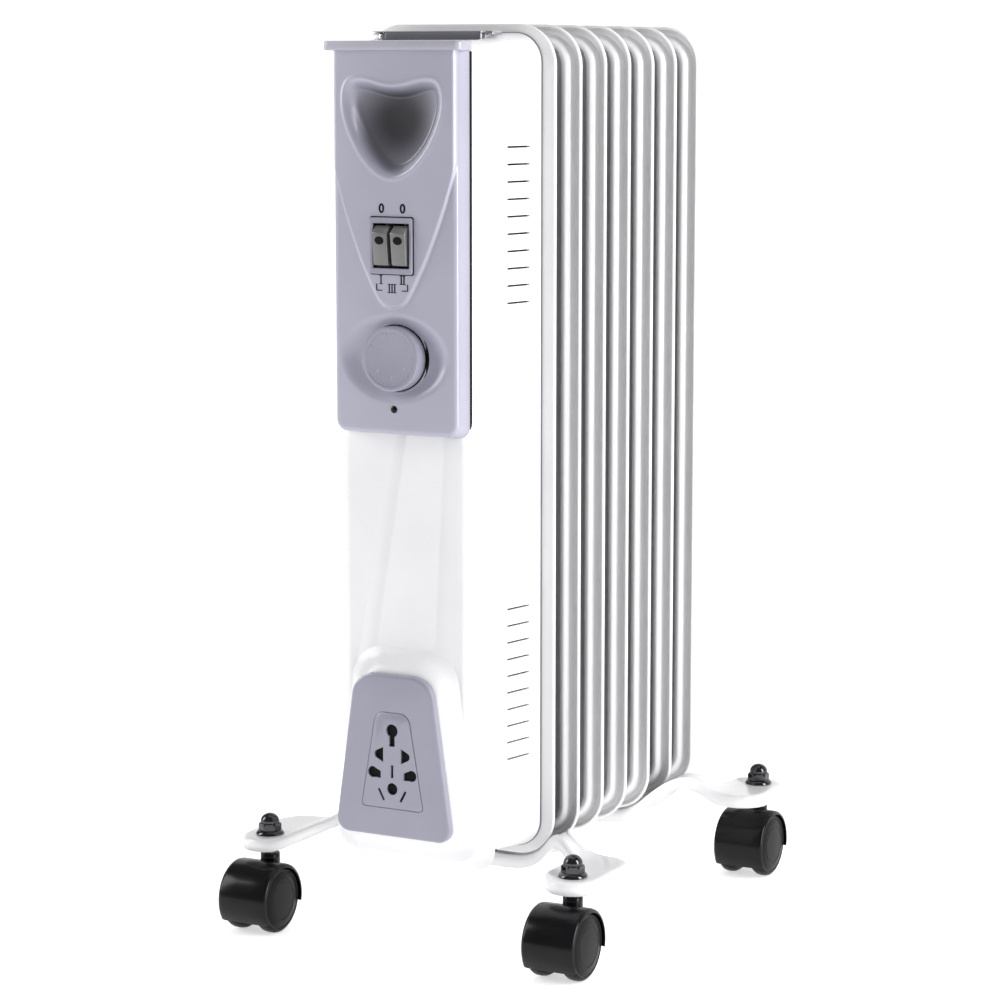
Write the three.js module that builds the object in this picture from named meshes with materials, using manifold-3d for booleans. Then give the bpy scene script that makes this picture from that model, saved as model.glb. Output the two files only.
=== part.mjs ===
// Oil filled radiator heater with seven fins, a control housing and four twin-wheel casters.
// Millimetres. X runs across the fins, Y from the control panel to the last fin, Z up from the floor.
import * as THREE from 'three';
import { mergeVertices } from 'three/addons/utils/BufferGeometryUtils.js';
import Module from 'manifold-3d';

const wasm = await Module();
wasm.setup();

// ---- driving dimensions -------------------------------------------------------------------

const gap = 0.3; // kept between touching pieces
const boolReach = 5; // how far a cutting tool runs past the face it cuts

// fins
const finCount = 7;
const finPitch = 38;
const finWidth = 150;
const finHeight = 580;
const finCornerR = 28;
const lipWidth = 2.2;
const seamWidth = 7.5; // from the fin's edge to the start of the swelled band
const bandWidth = 9;
const bandThick = 10;
const sheetThick = 1.6;
const lipReach = 6; // from the front of the lip to the middle plane of the fin
const headerInset = 52; // header centres from the fin's top and bottom edges
const headerBoreR = 16.5;
const headerTubeR = 20;
const headerPadR = 30;
const channelHalf = 14;
const finWall = 2;

// control housing
const coverDepth = 76;
const coverRim = 10; // fin edge left showing around the cover
const coverRimZ = 6;
const coverFrontHalf = 51;
const coverFrontInset = 13.5; // cover front edge from the fin's top and bottom
const coverCornerR = 20;
const coverWall = 2.2;
const coverEdgeR = 5;
const ventCount = 10;
const ventPitch = 11.7;
const ventLength = 24;
const ventHeight = 1.3;
const ventY = -25; // middle of the vent slots
const upperVentDrop = 82.5; // below the fins' top
const lowerVentTop = 181.5; // above the fins' bottom
const socketBumpTop = 151;
const socketBumpFront = 89;
const socketBumpBack = 62;
const socketBumpHalf = 53;
const socketBumpTopHalf = 36;

// control panel
const panelDrop = 18; // panel's top below the fins' top
const panelHeight = 257;
const panelRearHalf = 51;
const panelFrontHalf = 48;
const panelFront = 90;
const panelCornerR = 8;
const panelEdgeR = 2.5;
const panelWall = 2.5;
const shieldRise = 1.5;
const shieldTipRise = 85; // above the panel's lower edge
const dishDrop = 19; // below the panel's top
const dishHeight = 65;
const dishHalf = 37.7;
const dishDepth = 11.5;
const lidOverhang = 2;
const lidThick = 6;

// thermostat
const knobR = 22;
const knobFace = 97;
const knobBack = 87;
const knobRise = 51.5; // above the panel's lower edge
const knobDishSideX = 21; // dish beyond the knob, each side
const knobDishSideZ = 8;
const knobDishDepth = 5;
const shaftR = 3;
const thermostatSide = 30;
const thermostatDepth = 20;
const lensR = 2.6;
const lensDrop = 12.5; // below the knob

// rocker switches
const switchRise = 127.4; // above the panel's lower edge
const switchFrameHalfX = 16.3;
const switchFrameHalfZ = 18.9;
const switchWindowHalfX = 13.9;
const switchWindowHalfZ = 14.9;
const switchFrameProud = 1.8;
const switchDepth = 18;
const rockerWidth = 12.4;
const rockerHalfZ = 13.4;
const rockerTilt = 6; // degrees each side of level
const rockerPivotDepth = 5; // pivot behind the shield face
const rockerCrestReach = 13.2; // crest ahead of the pivot
const rockerCrestZ = 7.6; // crest above the pivot
const rockerEndReach = 7.2; // both ends ahead of the pivot
const rockerPinR = 1.2;
const rockerWebHalf = 0.5;

// mains socket
const plateFront = 95;
const plateTop = 140;
const plateBottom = 27;
const plateTopHalf = 28;
const plateBottomHalf = 46;
const plateCornerR = 13;
const insertTop = 114;
const insertBottom = 47;
const insertTopHalf = 13;
const insertBottomHalf = 24.5;
const insertCornerR = 6;
const insertDepth = 4;
const lowerPinZ = 60.8;

// handle
const handleY = -31;
const handleDrop = 5; // below the fins' top
const handleDepth = 14;
const handleHeight = 12;
const gripHalf = 37.5;
const handleHalf = 47.5;
const pocketHalfX = 42;
const pocketHalfY = 21;
const handleRodR = 3;

// feet
const footNutX = 122;
const frontFootSweep = 86; // caster bolts forward of the front clamp
const rearFootSweep = 72; // caster bolts behind the rear clamp
const rearClampGap = 5; // the rear foot is clamped behind this fin
const footTipR = 19;
const footThick = 2;
const footFlange = 8;
const footHalfDepth = 26;
const footMiddleHalf = 48; // straight part of the plan outline, each side of the middle
const footShoulderX = 84;
const footArmRear = 24; // arm's rear edge from the clamp
const footArcSteps = 3;
const footArmRise = 7; // arm's top above the fins' bottom
const footCentreDrop = 2.5;
const footHump = 19;
const uBoltR = 3;

// casters
const wheelR = 24;
const wheelInnerX = 6.4;
const wheelOuterX = 19.3;
const hoodRim = 2; // hood's outside beyond the wheel
const hoodClear = 1;
const hoodToFins = 10; // from the hood's top up to the fins
const stemTrail = 13.5; // stem behind the wheel axle
const stemR = 4;
const collarR = 6;
const collarRise = 4; // above the hood
const axleR = 3;
const stemClear = 3; // stem's lower end above the axle
const wheelSides = 16;

// ---- derived places -----------------------------------------------------------------------

const hoodR = wheelR + hoodRim;
const finBottom = wheelR + hoodR + hoodToFins; // height of the fins above the floor
const footArmTop = finBottom + footArmRise;
const collarTop = wheelR + hoodR + collarRise;
const stemLow = wheelR + axleR + stemClear;
const finTop = finBottom + finHeight;
const finMid = finBottom + finHeight / 2;
const stackLength = finPitch * (finCount - 1);
const frontClampY = lipReach + finPitch / 2;
const rearClampY = frontClampY + (rearClampGap - 1) * finPitch;
const frontBoltY = frontClampY - frontFootSweep;
const rearBoltY = rearClampY + rearFootSweep;
const hoodReach = hoodR * Math.cos(Math.PI / wheelSides); // flat-sided, so a little less than its radius
const frontMost = Math.min(frontBoltY - stemTrail - hoodReach, -knobFace);
const rearMost = Math.max(rearBoltY + footTipR, stackLength + lipReach + bandThick / 2);
const originShift = -(frontMost + rearMost) / 2; // puts the origin under the middle of the part
const lowHeaderZ = finBottom + headerInset;
const highHeaderZ = finTop - headerInset;
const shieldFace = panelFront + shieldRise;

// heights above the fins' bottom
const handleTop = finHeight - handleDrop;
const upperVentTop = finHeight - upperVentDrop;
const panelTop = finHeight - panelDrop;
const panelBottom = panelTop - panelHeight;
const shieldBottom = panelBottom + shieldTipRise;
const dishTop = panelTop - dishDrop;
const dishTip = dishTop - dishHeight;
const switchZ = panelBottom + switchRise;
const knobZ = panelBottom + knobRise;
const lensZ = knobZ - knobR - lensDrop;
const knobDishHalfX = knobR + knobDishSideX;
const knobDishHalfZ = knobR + knobDishSideZ;

// ---- solid helpers ------------------------------------------------------------------------

function solid(geometry) {
  const bare = geometry.index ? geometry.toNonIndexed() : geometry.clone();
  bare.deleteAttribute('normal');
  bare.deleteAttribute('uv');
  const merged = mergeVertices(bare, 1e-4);
  const kept = [];
  const index = merged.index.array;
  for (let i = 0; i < index.length; i += 3) {
    const [a, b, c] = [index[i], index[i + 1], index[i + 2]];
    if (a !== b && b !== c && c !== a) {
      kept.push(a, b, c);
    }
  }
  const vertProperties = new Float32Array(merged.attributes.position.array);
  const triVerts = new Uint32Array(kept);
  return new wasm.Manifold(new wasm.Mesh({ numProp: 3, vertProperties, triVerts }));
}

function surface(manifold) {
  const mesh = manifold.getMesh();
  const geometry = new THREE.BufferGeometry();
  const positions = new Float32Array(mesh.numVert * 3);
  for (let i = 0; i < mesh.numVert; i += 1) {
    for (let j = 0; j < 3; j += 1) {
      positions[i * 3 + j] = mesh.vertProperties[i * mesh.numProp + j];
    }
  }
  geometry.setAttribute('position', new THREE.BufferAttribute(positions, 3));
  geometry.setIndex(new THREE.BufferAttribute(new Uint32Array(mesh.triVerts), 1));
  return geometry;
}

function join(...pieces) {
  return pieces.reduce((whole, piece) => whole.add(piece));
}

function cut(whole, ...tools) {
  return tools.reduce((rest, tool) => rest.subtract(tool), whole);
}

// a box between two corners
function block(x0, x1, y0, y1, z0, z1) {
  const box = new THREE.BoxGeometry(x1 - x0, y1 - y0, z1 - z0);
  box.translate((x0 + x1) / 2, (y0 + y1) / 2, (z0 + z1) / 2);
  return solid(box);
}

// a cylinder from `from` to `to` along one axis, centred on (u, v) in the other two
function rod(axis, radius, from, to, u, v, sides = 24, endRadius = radius) {
  const shape = new THREE.CylinderGeometry(endRadius, radius, to - from, sides);
  shape.rotateY(Math.PI / sides);
  const middle = (from + to) / 2;
  if (axis === 'x') {
    shape.rotateZ(-Math.PI / 2);
    shape.translate(middle, u, v);
  } else if (axis === 'y') {
    shape.translate(u, middle, v);
  } else {
    shape.rotateX(Math.PI / 2);
    shape.translate(u, v, middle);
  }
  return solid(shape);
}

// a turned solid: points are [radius, distance along the axis]
function turned(points, axis, sides) {
  const profile = points.map(([radius, along]) => new THREE.Vector2(radius, along));
  const shape = new THREE.LatheGeometry(profile, sides);
  shape.rotateY(Math.PI / sides);
  if (axis === 'x') {
    shape.rotateZ(-Math.PI / 2);
  } else if (axis === 'z') {
    shape.rotateX(Math.PI / 2);
  }
  return solid(shape);
}

// an outline drawn in X and Z, extruded along Y from yFront back to yRear
function prism(outline, yFront, yRear, curveSegments = 6, bevel = 0, bevelSegments = 2) {
  const shape = new THREE.ExtrudeGeometry(outline, {
    depth: yRear - yFront - 2 * bevel,
    curveSegments,
    bevelEnabled: bevel > 0,
    bevelSize: bevel,
    bevelThickness: bevel,
    bevelOffset: -bevel,
    bevelSegments,
  });
  shape.rotateX(Math.PI / 2);
  shape.translate(0, yRear - bevel, 0);
  return shape;
}

function roundedRect(halfX, zLow, zHigh, radius) {
  const shape = new THREE.Shape();
  shape.moveTo(halfX, zLow + radius);
  shape.lineTo(halfX, zHigh - radius);
  shape.absarc(halfX - radius, zHigh - radius, radius, 0, Math.PI / 2, false);
  shape.absarc(-halfX + radius, zHigh - radius, radius, Math.PI / 2, Math.PI, false);
  shape.absarc(-halfX + radius, zLow + radius, radius, Math.PI, 1.5 * Math.PI, false);
  shape.absarc(halfX - radius, zLow + radius, radius, 1.5 * Math.PI, 2 * Math.PI, false);
  return shape;
}

// a symmetrical four-sided outline with rounded corners, narrower at the top
function trapezoid(bottomHalf, topHalf, zLow, zHigh, radius) {
  const corners = [[bottomHalf, zLow], [topHalf, zHigh], [-topHalf, zHigh], [-bottomHalf, zLow]];
  const shape = new THREE.Shape();
  corners.forEach(([x, z], i) => {
    const before = new THREE.Vector2(...corners[(i + 3) % 4]);
    const after = new THREE.Vector2(...corners[(i + 1) % 4]);
    const corner = new THREE.Vector2(x, z);
    const start = corner.clone().add(before.sub(corner).setLength(radius));
    const end = corner.clone().add(after.sub(corner).setLength(radius));
    if (i === 0) {
      shape.moveTo(start.x, start.y);
    } else {
      shape.lineTo(start.x, start.y);
    }
    shape.quadraticCurveTo(corner.x, corner.y, end.x, end.y);
  });
  return shape;
}

// scales X and Z about (0, zMid) by an amount that grows from yRear to yFront
function taper(geometry, yRear, yFront, zMid, frontScaleX, frontScaleZ) {
  const position = geometry.attributes.position;
  for (let i = 0; i < position.count; i += 1) {
    const t = (position.getY(i) - yRear) / (yFront - yRear);
    const scaleX = 1 + (frontScaleX - 1) * t;
    const scaleZ = 1 + (frontScaleZ - 1) * t;
    position.setX(i, position.getX(i) * scaleX);
    position.setZ(i, zMid + (position.getZ(i) - zMid) * scaleZ);
  }
  return geometry;
}

function ellipsoid(x, y, z, rx, ry, rz, sides = 20, rings = 12) {
  const shape = new THREE.SphereGeometry(1, sides, rings);
  shape.scale(rx, ry, rz);
  shape.translate(x, y, z);
  return solid(shape);
}

// a round bar bent into a U: legs run towards -Y, `legLength` long, and the bend is on +Y
function hairpin(radius, half, legLength) {
  const section = new THREE.Shape();
  section.absarc(0, 0, radius, 0, 2 * Math.PI, false);
  const reach = half * (4 / 3);
  const extrudePath = new THREE.CubicBezierCurve3(
    new THREE.Vector3(-half, -gap, 0),
    new THREE.Vector3(-half, reach, 0),
    new THREE.Vector3(half, reach, 0),
    new THREE.Vector3(half, -gap, 0),
  );
  const options = { steps: 8, curveSegments: 4, extrudePath };
  const bend = solid(new THREE.ExtrudeGeometry(section, options));
  return join(
    bend,
    rod('y', radius, -legLength, 0, -half, 0, 8),
    rod('y', radius, -legLength, 0, half, 0, 8),
  );
}

// ---- materials ----------------------------------------------------------------------------

function finish(color, roughness, metalness) {
  return new THREE.MeshStandardMaterial({ color, roughness, metalness });
}

const whitePaint = finish(0xf2f2f4, 0.25, 0);
const whitePlastic = finish(0xf5f5f7, 0.2, 0);
const greyPlastic = finish(0x9a99ad, 0.4, 0);
const lightGreyPlastic = finish(0xb9b8bd, 0.35, 0);
const blackPlastic = finish(0x0b0b0c, 0.15, 0);
const darkChrome = finish(0x55565a, 0.15, 1);
const steel = finish(0xb4b6b8, 0.3, 1);
const brass = finish(0xc8a24a, 0.3, 1);
const rubber = finish(0x1c1c1c, 0.8, 0);

// ---- assembly -----------------------------------------------------------------------------

const heater = new THREE.Group();
const assembly = new THREE.Group();
assembly.position.y = originShift;
heater.add(assembly);

function add(name, manifold, material, parent = assembly) {
  const mesh = new THREE.Mesh(surface(manifold), material);
  mesh.name = name;
  parent.add(mesh);
}

// ---- fins ---------------------------------------------------------------------------------

function finOutline(inset) {
  const radius = Math.max(finCornerR - inset, 3);
  return roundedRect(finWidth / 2 - inset, finBottom + inset, finTop - inset, radius);
}

// the part of a fin between two planes that stays outside its band, header pads and channel
function finPocket(yFront, yRear) {
  const inner = seamWidth + bandWidth;
  const area = solid(prism(finOutline(inner), yFront, yRear, 1));
  return cut(
    area,
    rod('y', headerPadR, yFront - 1, yRear + 1, 0, lowHeaderZ, 10),
    rod('y', headerPadR, yFront - 1, yRear + 1, 0, highHeaderZ, 10),
    block(-channelHalf, channelHalf, yFront - 1, yRear + 1, lowHeaderZ, highHeaderZ),
  );
}

function fin(number) {
  const first = number === 1;
  const last = number === finCount;
  const mid = lipReach;
  const front = mid - bandThick / 2;
  const rear = mid + bandThick / 2;
  const sheetFront = mid - sheetThick / 2;
  const sheetRear = mid + sheetThick / 2;

  const seam = cut(
    solid(prism(finOutline(0), 0, sheetRear, 2)),
    solid(prism(finOutline(lipWidth), -1, sheetFront, 2)),
  );
  const band = solid(prism(finOutline(seamWidth), front, rear, 2, bandThick / 2 - 1, 1));
  let body = cut(band, finPocket(front - 1, sheetFront), finPocket(sheetRear, rear + 1));
  body = join(body, seam);
  const tubeFront = first ? front - finWall : mid - finPitch / 2 + gap / 2;
  const tubeRear = last ? rear : mid + finPitch / 2 - gap / 2;
  for (const z of [lowHeaderZ, highHeaderZ]) {
    body = join(body, rod('y', headerTubeR, tubeFront, tubeRear, 0, z, 12));
  }
  const boreRear = last ? rear - finWall : tubeRear + 1;
  const topBoreFront = first ? front : tubeFront - 1;
  body = cut(
    body,
    rod('y', headerBoreR, tubeFront - 1, boreRear, 0, lowHeaderZ, 12),
    rod('y', headerBoreR, topBoreFront + (first ? finWall : 0), boreRear, 0, highHeaderZ, 12),
    block(
      -channelHalf + finWall, channelHalf - finWall,
      front + finWall, rear - finWall,
      lowHeaderZ, highHeaderZ,
    ),
  );
  if (first) {
    body = cut(body, rod('y', plugR + gap, tubeFront - 1, front + finWall + 1, 0, highHeaderZ, 16));
  }
  return body.translate(0, (number - 1) * finPitch, 0);
}

// ---- heating elements, their flange and the filler plug ------------------------------------

const plugR = 7;
const flangeR = 22;
const flangeThick = 6;
const elementTubeR = 3;
const elementLegX = 7.5;
const elementLegZ = 5;
const elementTerminal = 9; // element ends standing out of the flange
const finFace = lipReach - bandThick / 2;
const bossFace = finFace - finWall; // front of the first fin's header bosses

function elementFlange() {
  const face = bossFace - gap;
  let body = join(
    rod('y', flangeR, face - flangeThick, face, 0, lowHeaderZ, 6),
    rod('y', headerBoreR - gap, face, finFace + finWall, 0, lowHeaderZ, 12),
  );
  for (const x of [-elementLegX, elementLegX]) {
    for (const z of [-elementLegZ, elementLegZ]) {
      const tool = rod(
        'y', elementTubeR + gap, face - flangeThick - 1, finFace + finWall + 1, x, lowHeaderZ + z, 8,
      );
      body = cut(body, tool);
    }
  }
  return body;
}

function heatingElement(zOffset) {
  const start = bossFace - gap - flangeThick - elementTerminal;
  const bendY = stackLength - finPitch / 2;
  return hairpin(elementTubeR, elementLegX, bendY - start).translate(0, bendY, lowHeaderZ + zOffset);
}

function fillerPlug() {
  const face = bossFace - gap;
  return join(
    rod('y', plugR + 3, face - 5, face, 0, highHeaderZ, 6),
    rod('y', plugR, face, finFace + finWall - gap, 0, highHeaderZ, 16),
  );
}

// ---- front cover ----------------------------------------------------------------------------

const coverRearHalf = finWidth / 2 - coverRim;
const coverHalfZ = finHeight / 2 - coverRimZ;
const coverScaleX = coverFrontHalf / coverRearHalf;
const coverScaleZ = (finHeight / 2 - coverFrontInset) / coverHalfZ;

// the tapered block of the cover, made smaller all round by `inset`
function coverBlock(inset, yRear) {
  const outline = roundedRect(
    coverRearHalf - inset, finMid - coverHalfZ + inset, finMid + coverHalfZ - inset, coverCornerR - inset,
  );
  const edge = Math.max(coverEdgeR - inset, 1);
  const shape = prism(outline, -coverDepth + inset, yRear + edge, 2, edge, 2);
  taper(shape, 0, -coverDepth, finMid, coverScaleX, coverScaleZ);
  return solid(shape);
}

// height of the cover's top face at a distance y
function coverTop(y) {
  return finMid + coverHalfZ * (1 + (coverScaleZ - 1) * (-y / coverDepth));
}

// the raised housing that carries the mains socket
function socketBump(inset) {
  const low = finBottom + coverFrontInset + inset;
  const high = finBottom + socketBumpTop - inset;
  const outline = trapezoid(socketBumpHalf - inset, socketBumpTopHalf - inset, low, high, 20 - inset);
  const shape = prism(outline, -socketBumpFront + inset, -socketBumpBack, 3, 3, 1);
  const zMid = (low + high) / 2;
  const scale = plateBottomHalf / socketBumpHalf;
  return solid(taper(shape, -socketBumpBack, -socketBumpFront, zMid, scale, 0.94));
}

function ventSlots() {
  const slots = [];
  for (const top of [upperVentTop, lowerVentTop]) {
    for (let i = 0; i < ventCount; i += 1) {
      const z = finBottom + top - i * ventPitch;
      const reach = coverRearHalf + boolReach;
      slots.push(block(
        -reach, reach,
        ventY - ventLength / 2, ventY + ventLength / 2,
        z - ventHeight / 2, z + ventHeight / 2,
      ));
    }
  }
  return slots;
}

const pocketFloor = finBottom + handleTop - handleHeight - 15;

function frontCover() {
  const rear = -gap;
  const outer = join(coverBlock(0, 0), socketBump(0));
  const inner = join(coverBlock(coverWall, boolReach), socketBump(coverWall));
  let body = cut(outer, inner);
  const pocket = block(
    -pocketHalfX, pocketHalfX,
    handleY - pocketHalfY, handleY + pocketHalfY,
    pocketFloor, finTop + boolReach,
  );
  const tub = block(
    -pocketHalfX - coverWall, pocketHalfX + coverWall,
    handleY - pocketHalfY - coverWall, handleY + pocketHalfY + coverWall,
    pocketFloor - coverWall, finTop,
  ).intersect(outer);
  body = cut(join(body, tub), pocket);
  const windowRear = -coverDepth + coverWall + 1;
  const windowFront = -coverDepth - 1;
  body = cut(
    body,
    ...ventSlots(),
    block(-finWidth, finWidth, rear, 4 * boolReach, 0, finTop + boolReach),
    rod('y', shaftR + 4, windowFront, windowRear, 0, finBottom + knobZ, 12),
    rod('y', lensR + 1, windowFront, windowRear, 0, finBottom + lensZ, 8),
    block(
      -switchWindowHalfX - 2.5, switchWindowHalfX + 2.5,
      windowFront, windowRear,
      finBottom + switchZ - switchWindowHalfZ - 2.5, finBottom + switchZ + switchWindowHalfZ + 2.5,
    ),
    block(
      -insertBottomHalf - 2, insertBottomHalf + 2,
      -socketBumpFront - 1, -socketBumpFront + coverWall + 1,
      finBottom + insertBottom - 2, finBottom + insertTop + 2,
    ),
    rod('z', grommetR, 0, finBottom + coverFrontInset + 8, grommetX, grommetY, 12),
  );
  return body;
}

// ---- cord grommet in the bottom of the cover, heat shield ------------------------------------

const grommetR = 7;
const grommetX = 30;
const grommetY = -20;
const cordBoreR = 3.8;
const shieldThick = 1;
const shieldY = -2.6;

function coverBottom(y) {
  return 2 * finMid - coverTop(y);
}

function cordGrommet() {
  const low = coverBottom(grommetY);
  const neck = grommetR - gap;
  const flange = grommetR + 2.5;
  return cut(
    join(
      rod('z', neck, low - 2, low + coverWall + 2, grommetX, grommetY, 12),
      rod('z', flange, low - 4, low - 1.2, grommetX, grommetY, 12),
      rod('z', flange, low + coverWall + 1.2, low + coverWall + 3, grommetX, grommetY, 12),
    ),
    rod('z', cordBoreR, 0, low + 4 * coverWall, grommetX, grommetY, 16),
  );
}

function heatShield() {
  const inset = coverRim + coverWall + 1.5;
  const outline = finOutline(inset);
  return cut(
    solid(prism(outline, shieldY - shieldThick, shieldY, 2)),
    rod('y', flangeR + 2, shieldY - 2, shieldY + 1, 0, lowHeaderZ, 12),
    rod('y', headerTubeR + 2, shieldY - 2, shieldY + 1, 0, highHeaderZ, 12),
  );
}

// ---- control panel ----------------------------------------------------------------------------

const panelMid = finBottom + (panelBottom + panelTop) / 2;

// heart-shaped outline of the finger dish
function dishOutline() {
  const top = finBottom + dishTop;
  const tip = finBottom + dishTip;
  const wide = top - 14;
  const shape = new THREE.Shape();
  shape.moveTo(0, tip);
  shape.bezierCurveTo(0.55 * dishHalf, tip, dishHalf, tip + 32, dishHalf, wide);
  shape.bezierCurveTo(dishHalf, top - 2, 0.86 * dishHalf, top, 0.7 * dishHalf, top);
  shape.bezierCurveTo(0.45 * dishHalf, top, 0.3 * dishHalf, top - 4, 0, top - 4);
  shape.bezierCurveTo(-0.3 * dishHalf, top - 4, -0.45 * dishHalf, top, -0.7 * dishHalf, top);
  shape.bezierCurveTo(-0.86 * dishHalf, top, -dishHalf, top - 2, -dishHalf, wide);
  shape.bezierCurveTo(-dishHalf, tip + 32, -0.55 * dishHalf, tip, 0, tip);
  return shape;
}

// the raised field with the pointed lower end
function shieldOutline() {
  const half = panelFrontHalf - panelEdgeR;
  const top = finBottom + panelTop - panelEdgeR;
  const low = finBottom + shieldBottom;
  const shoulder = low + 100;
  const shape = new THREE.Shape();
  shape.moveTo(half, shoulder);
  shape.lineTo(half, top);
  shape.lineTo(-half, top);
  shape.lineTo(-half, shoulder);
  shape.bezierCurveTo(-half + 6, shoulder - 34, -half + 22, low + 30, -10, low + 4);
  shape.quadraticCurveTo(0, low - 3, 10, low + 4);
  shape.bezierCurveTo(half - 22, low + 30, half - 6, shoulder - 34, half, shoulder);
  return shape;
}

function dishTool(inset) {
  const depth = dishDepth + inset;
  const z = finBottom + dishTop - 30;
  const bowl = ellipsoid(0, -shieldFace, z, dishHalf + 4 + inset, depth, 48 + inset, 16, 12);
  const side = solid(prism(dishOutline(), -shieldFace - boolReach, -shieldFace + depth + 1, 2));
  return bowl.intersect(side);
}

function controlPanel() {
  const rear = -coverDepth - gap;
  const low = finBottom + panelBottom;
  const high = finBottom + panelTop;
  const outline = roundedRect(panelRearHalf, low - 2, high + panelCornerR, panelCornerR);
  const frontScale = panelFrontHalf / panelRearHalf;
  const outerShape = prism(outline, -panelFront, rear + panelEdgeR, 2, panelEdgeR, 1);
  const outer = solid(taper(outerShape, rear, -panelFront, panelMid, frontScale, 0.992));
  const inside = roundedRect(
    panelFrontHalf - panelWall, low + panelWall, high - panelWall, panelCornerR - panelWall,
  );
  const cavity = cut(
    solid(prism(inside, -panelFront + panelWall, rear + boolReach, 1)),
    block(
      -dishHalf - 3, dishHalf + 3,
      -panelFront, rear + boolReach,
      finBottom + dishTip - 4, finBottom + dishTop + 3,
    ),
    block(
      -knobDishHalfX, knobDishHalfX,
      -panelFront, -panelFront + knobDishDepth + panelWall,
      finBottom + knobZ - knobDishHalfZ, finBottom + knobZ + knobDishHalfZ,
    ),
  );
  const raised = solid(prism(shieldOutline(), -shieldFace, -panelFront + 1, 3));
  const fullDepth = [-shieldFace - 1, rear + boolReach];
  return cut(
    join(outer, raised),
    cavity,
    block(-finWidth, finWidth, rear, boolReach, 0, finTop),
    block(-finWidth, finWidth, -panelFront - boolReach, boolReach, high, finTop), // square top, under the lid
    dishTool(0),
    ellipsoid(
      0, -panelFront, finBottom + knobZ, knobDishHalfX, knobDishDepth, knobDishHalfZ, 20, 8,
    ),
    rod('y', shaftR + 1.5, ...fullDepth, 0, finBottom + knobZ, 10),
    rod('y', lensR + gap, ...fullDepth, 0, finBottom + lensZ, 10),
    block(
      -switchWindowHalfX - 1.5, switchWindowHalfX + 1.5,
      ...fullDepth,
      finBottom + switchZ - switchWindowHalfZ - 1.5, finBottom + switchZ + switchWindowHalfZ + 1.5,
    ),
  );
}

function panelLid() {
  const low = finBottom + panelTop + gap;
  const half = panelRearHalf + lidOverhang;
  const front = -shieldFace - lidOverhang;
  const rear = -coverDepth - gap;
  const body = block(-half, half, front, rear, low, low + lidThick);
  const cornerCut = panelCornerR - panelEdgeR;
  const corners = [-1, 1].map((side) => cut(
    block(
      Math.min(side * half, side * (half - cornerCut)),
      Math.max(side * half, side * (half - cornerCut)),
      front - 1, front + cornerCut,
      low - 1, low + lidThick + 1,
    ),
    rod('z', cornerCut, low - 2, low + lidThick + 2, side * (half - cornerCut), front + cornerCut, 16),
  ));
  return cut(body, ...corners);
}

// ---- thermostat ---------------------------------------------------------------------------

function thermostatKnob() {
  const depth = knobFace - knobBack;
  const points = [
    [0, 0], [knobR, 0], [knobR, depth - 2], [knobR - 2, depth], [knobR - 5, depth - 0.8],
    [0, depth - 0.8],
  ];
  const body = turned(points, 'y', 24).rotate(0, 0, 180).translate(0, -knobBack, 0);
  const bore = rod('y', shaftR + gap, -knobFace + 3, -knobBack + 1, 0, 0, 12);
  return cut(body, bore).translate(0, 0, finBottom + knobZ);
}

const thermostatFront = -coverDepth + coverWall + 2;

function thermostatShaft() {
  const front = -knobFace + 3 + gap;
  const rear = thermostatFront + thermostatDepth / 2;
  return rod('y', shaftR, front, rear, 0, finBottom + knobZ, 12);
}

function thermostatBody() {
  const half = thermostatSide / 2;
  const z = finBottom + knobZ;
  const rear = thermostatFront + thermostatDepth;
  return cut(
    join(
      block(-half, half, thermostatFront, rear, z - half, z + half),
      rod('y', shaftR + 3, thermostatFront - 3, thermostatFront + 1, 0, z, 12),
    ),
    rod('y', shaftR + gap, thermostatFront - 4, thermostatFront + thermostatDepth / 2 + gap, 0, z, 12),
  );
}

function indicatorLens() {
  const z = finBottom + lensZ;
  const length = panelFront - coverDepth + 6;
  const points = [[0, 0], [lensR, 0], [lensR, length - 0.8], [lensR - 1, length], [0, length + 0.3]];
  return turned(points, 'y', 10).rotate(0, 0, 180).translate(0, -coverDepth + 5, z);
}

// ---- rocker switches ------------------------------------------------------------------------

const frameFront = -shieldFace - switchFrameProud;
const rockerPivotY = -shieldFace + rockerPivotDepth;

function switchFrame() {
  const z = finBottom + switchZ;
  const outer = roundedRect(switchFrameHalfX, z - switchFrameHalfZ, z + switchFrameHalfZ, 1.5);
  const side = [-switchWindowHalfX, switchWindowHalfX];
  return cut(
    solid(prism(outer, frameFront, -shieldFace - gap, 1, 0.5, 1)),
    block(...side, frameFront - 1, 0, z - switchWindowHalfZ, z + switchWindowHalfZ),
  );
}

function switchBody() {
  const z = finBottom + switchZ;
  const halfX = switchWindowHalfX + 1.1;
  const halfZ = switchWindowHalfZ + 1.1;
  const front = -shieldFace;
  const rear = front + switchDepth;
  const box = cut(
    block(-halfX, halfX, front, rear, z - halfZ, z + halfZ),
    block(
      -switchWindowHalfX, switchWindowHalfX,
      front - 1, rear - 2,
      z - switchWindowHalfZ, z + switchWindowHalfZ,
    ),
  );
  const web = block(-rockerWebHalf, rockerWebHalf, rockerPivotY - 3, rear - 1, z - halfZ + 1, z + halfZ - 1);
  return cut(
    join(box, web),
    rod('x', rockerPinR + gap, -halfX - 1, halfX + 1, rockerPivotY, z, 10),
  );
}

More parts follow.
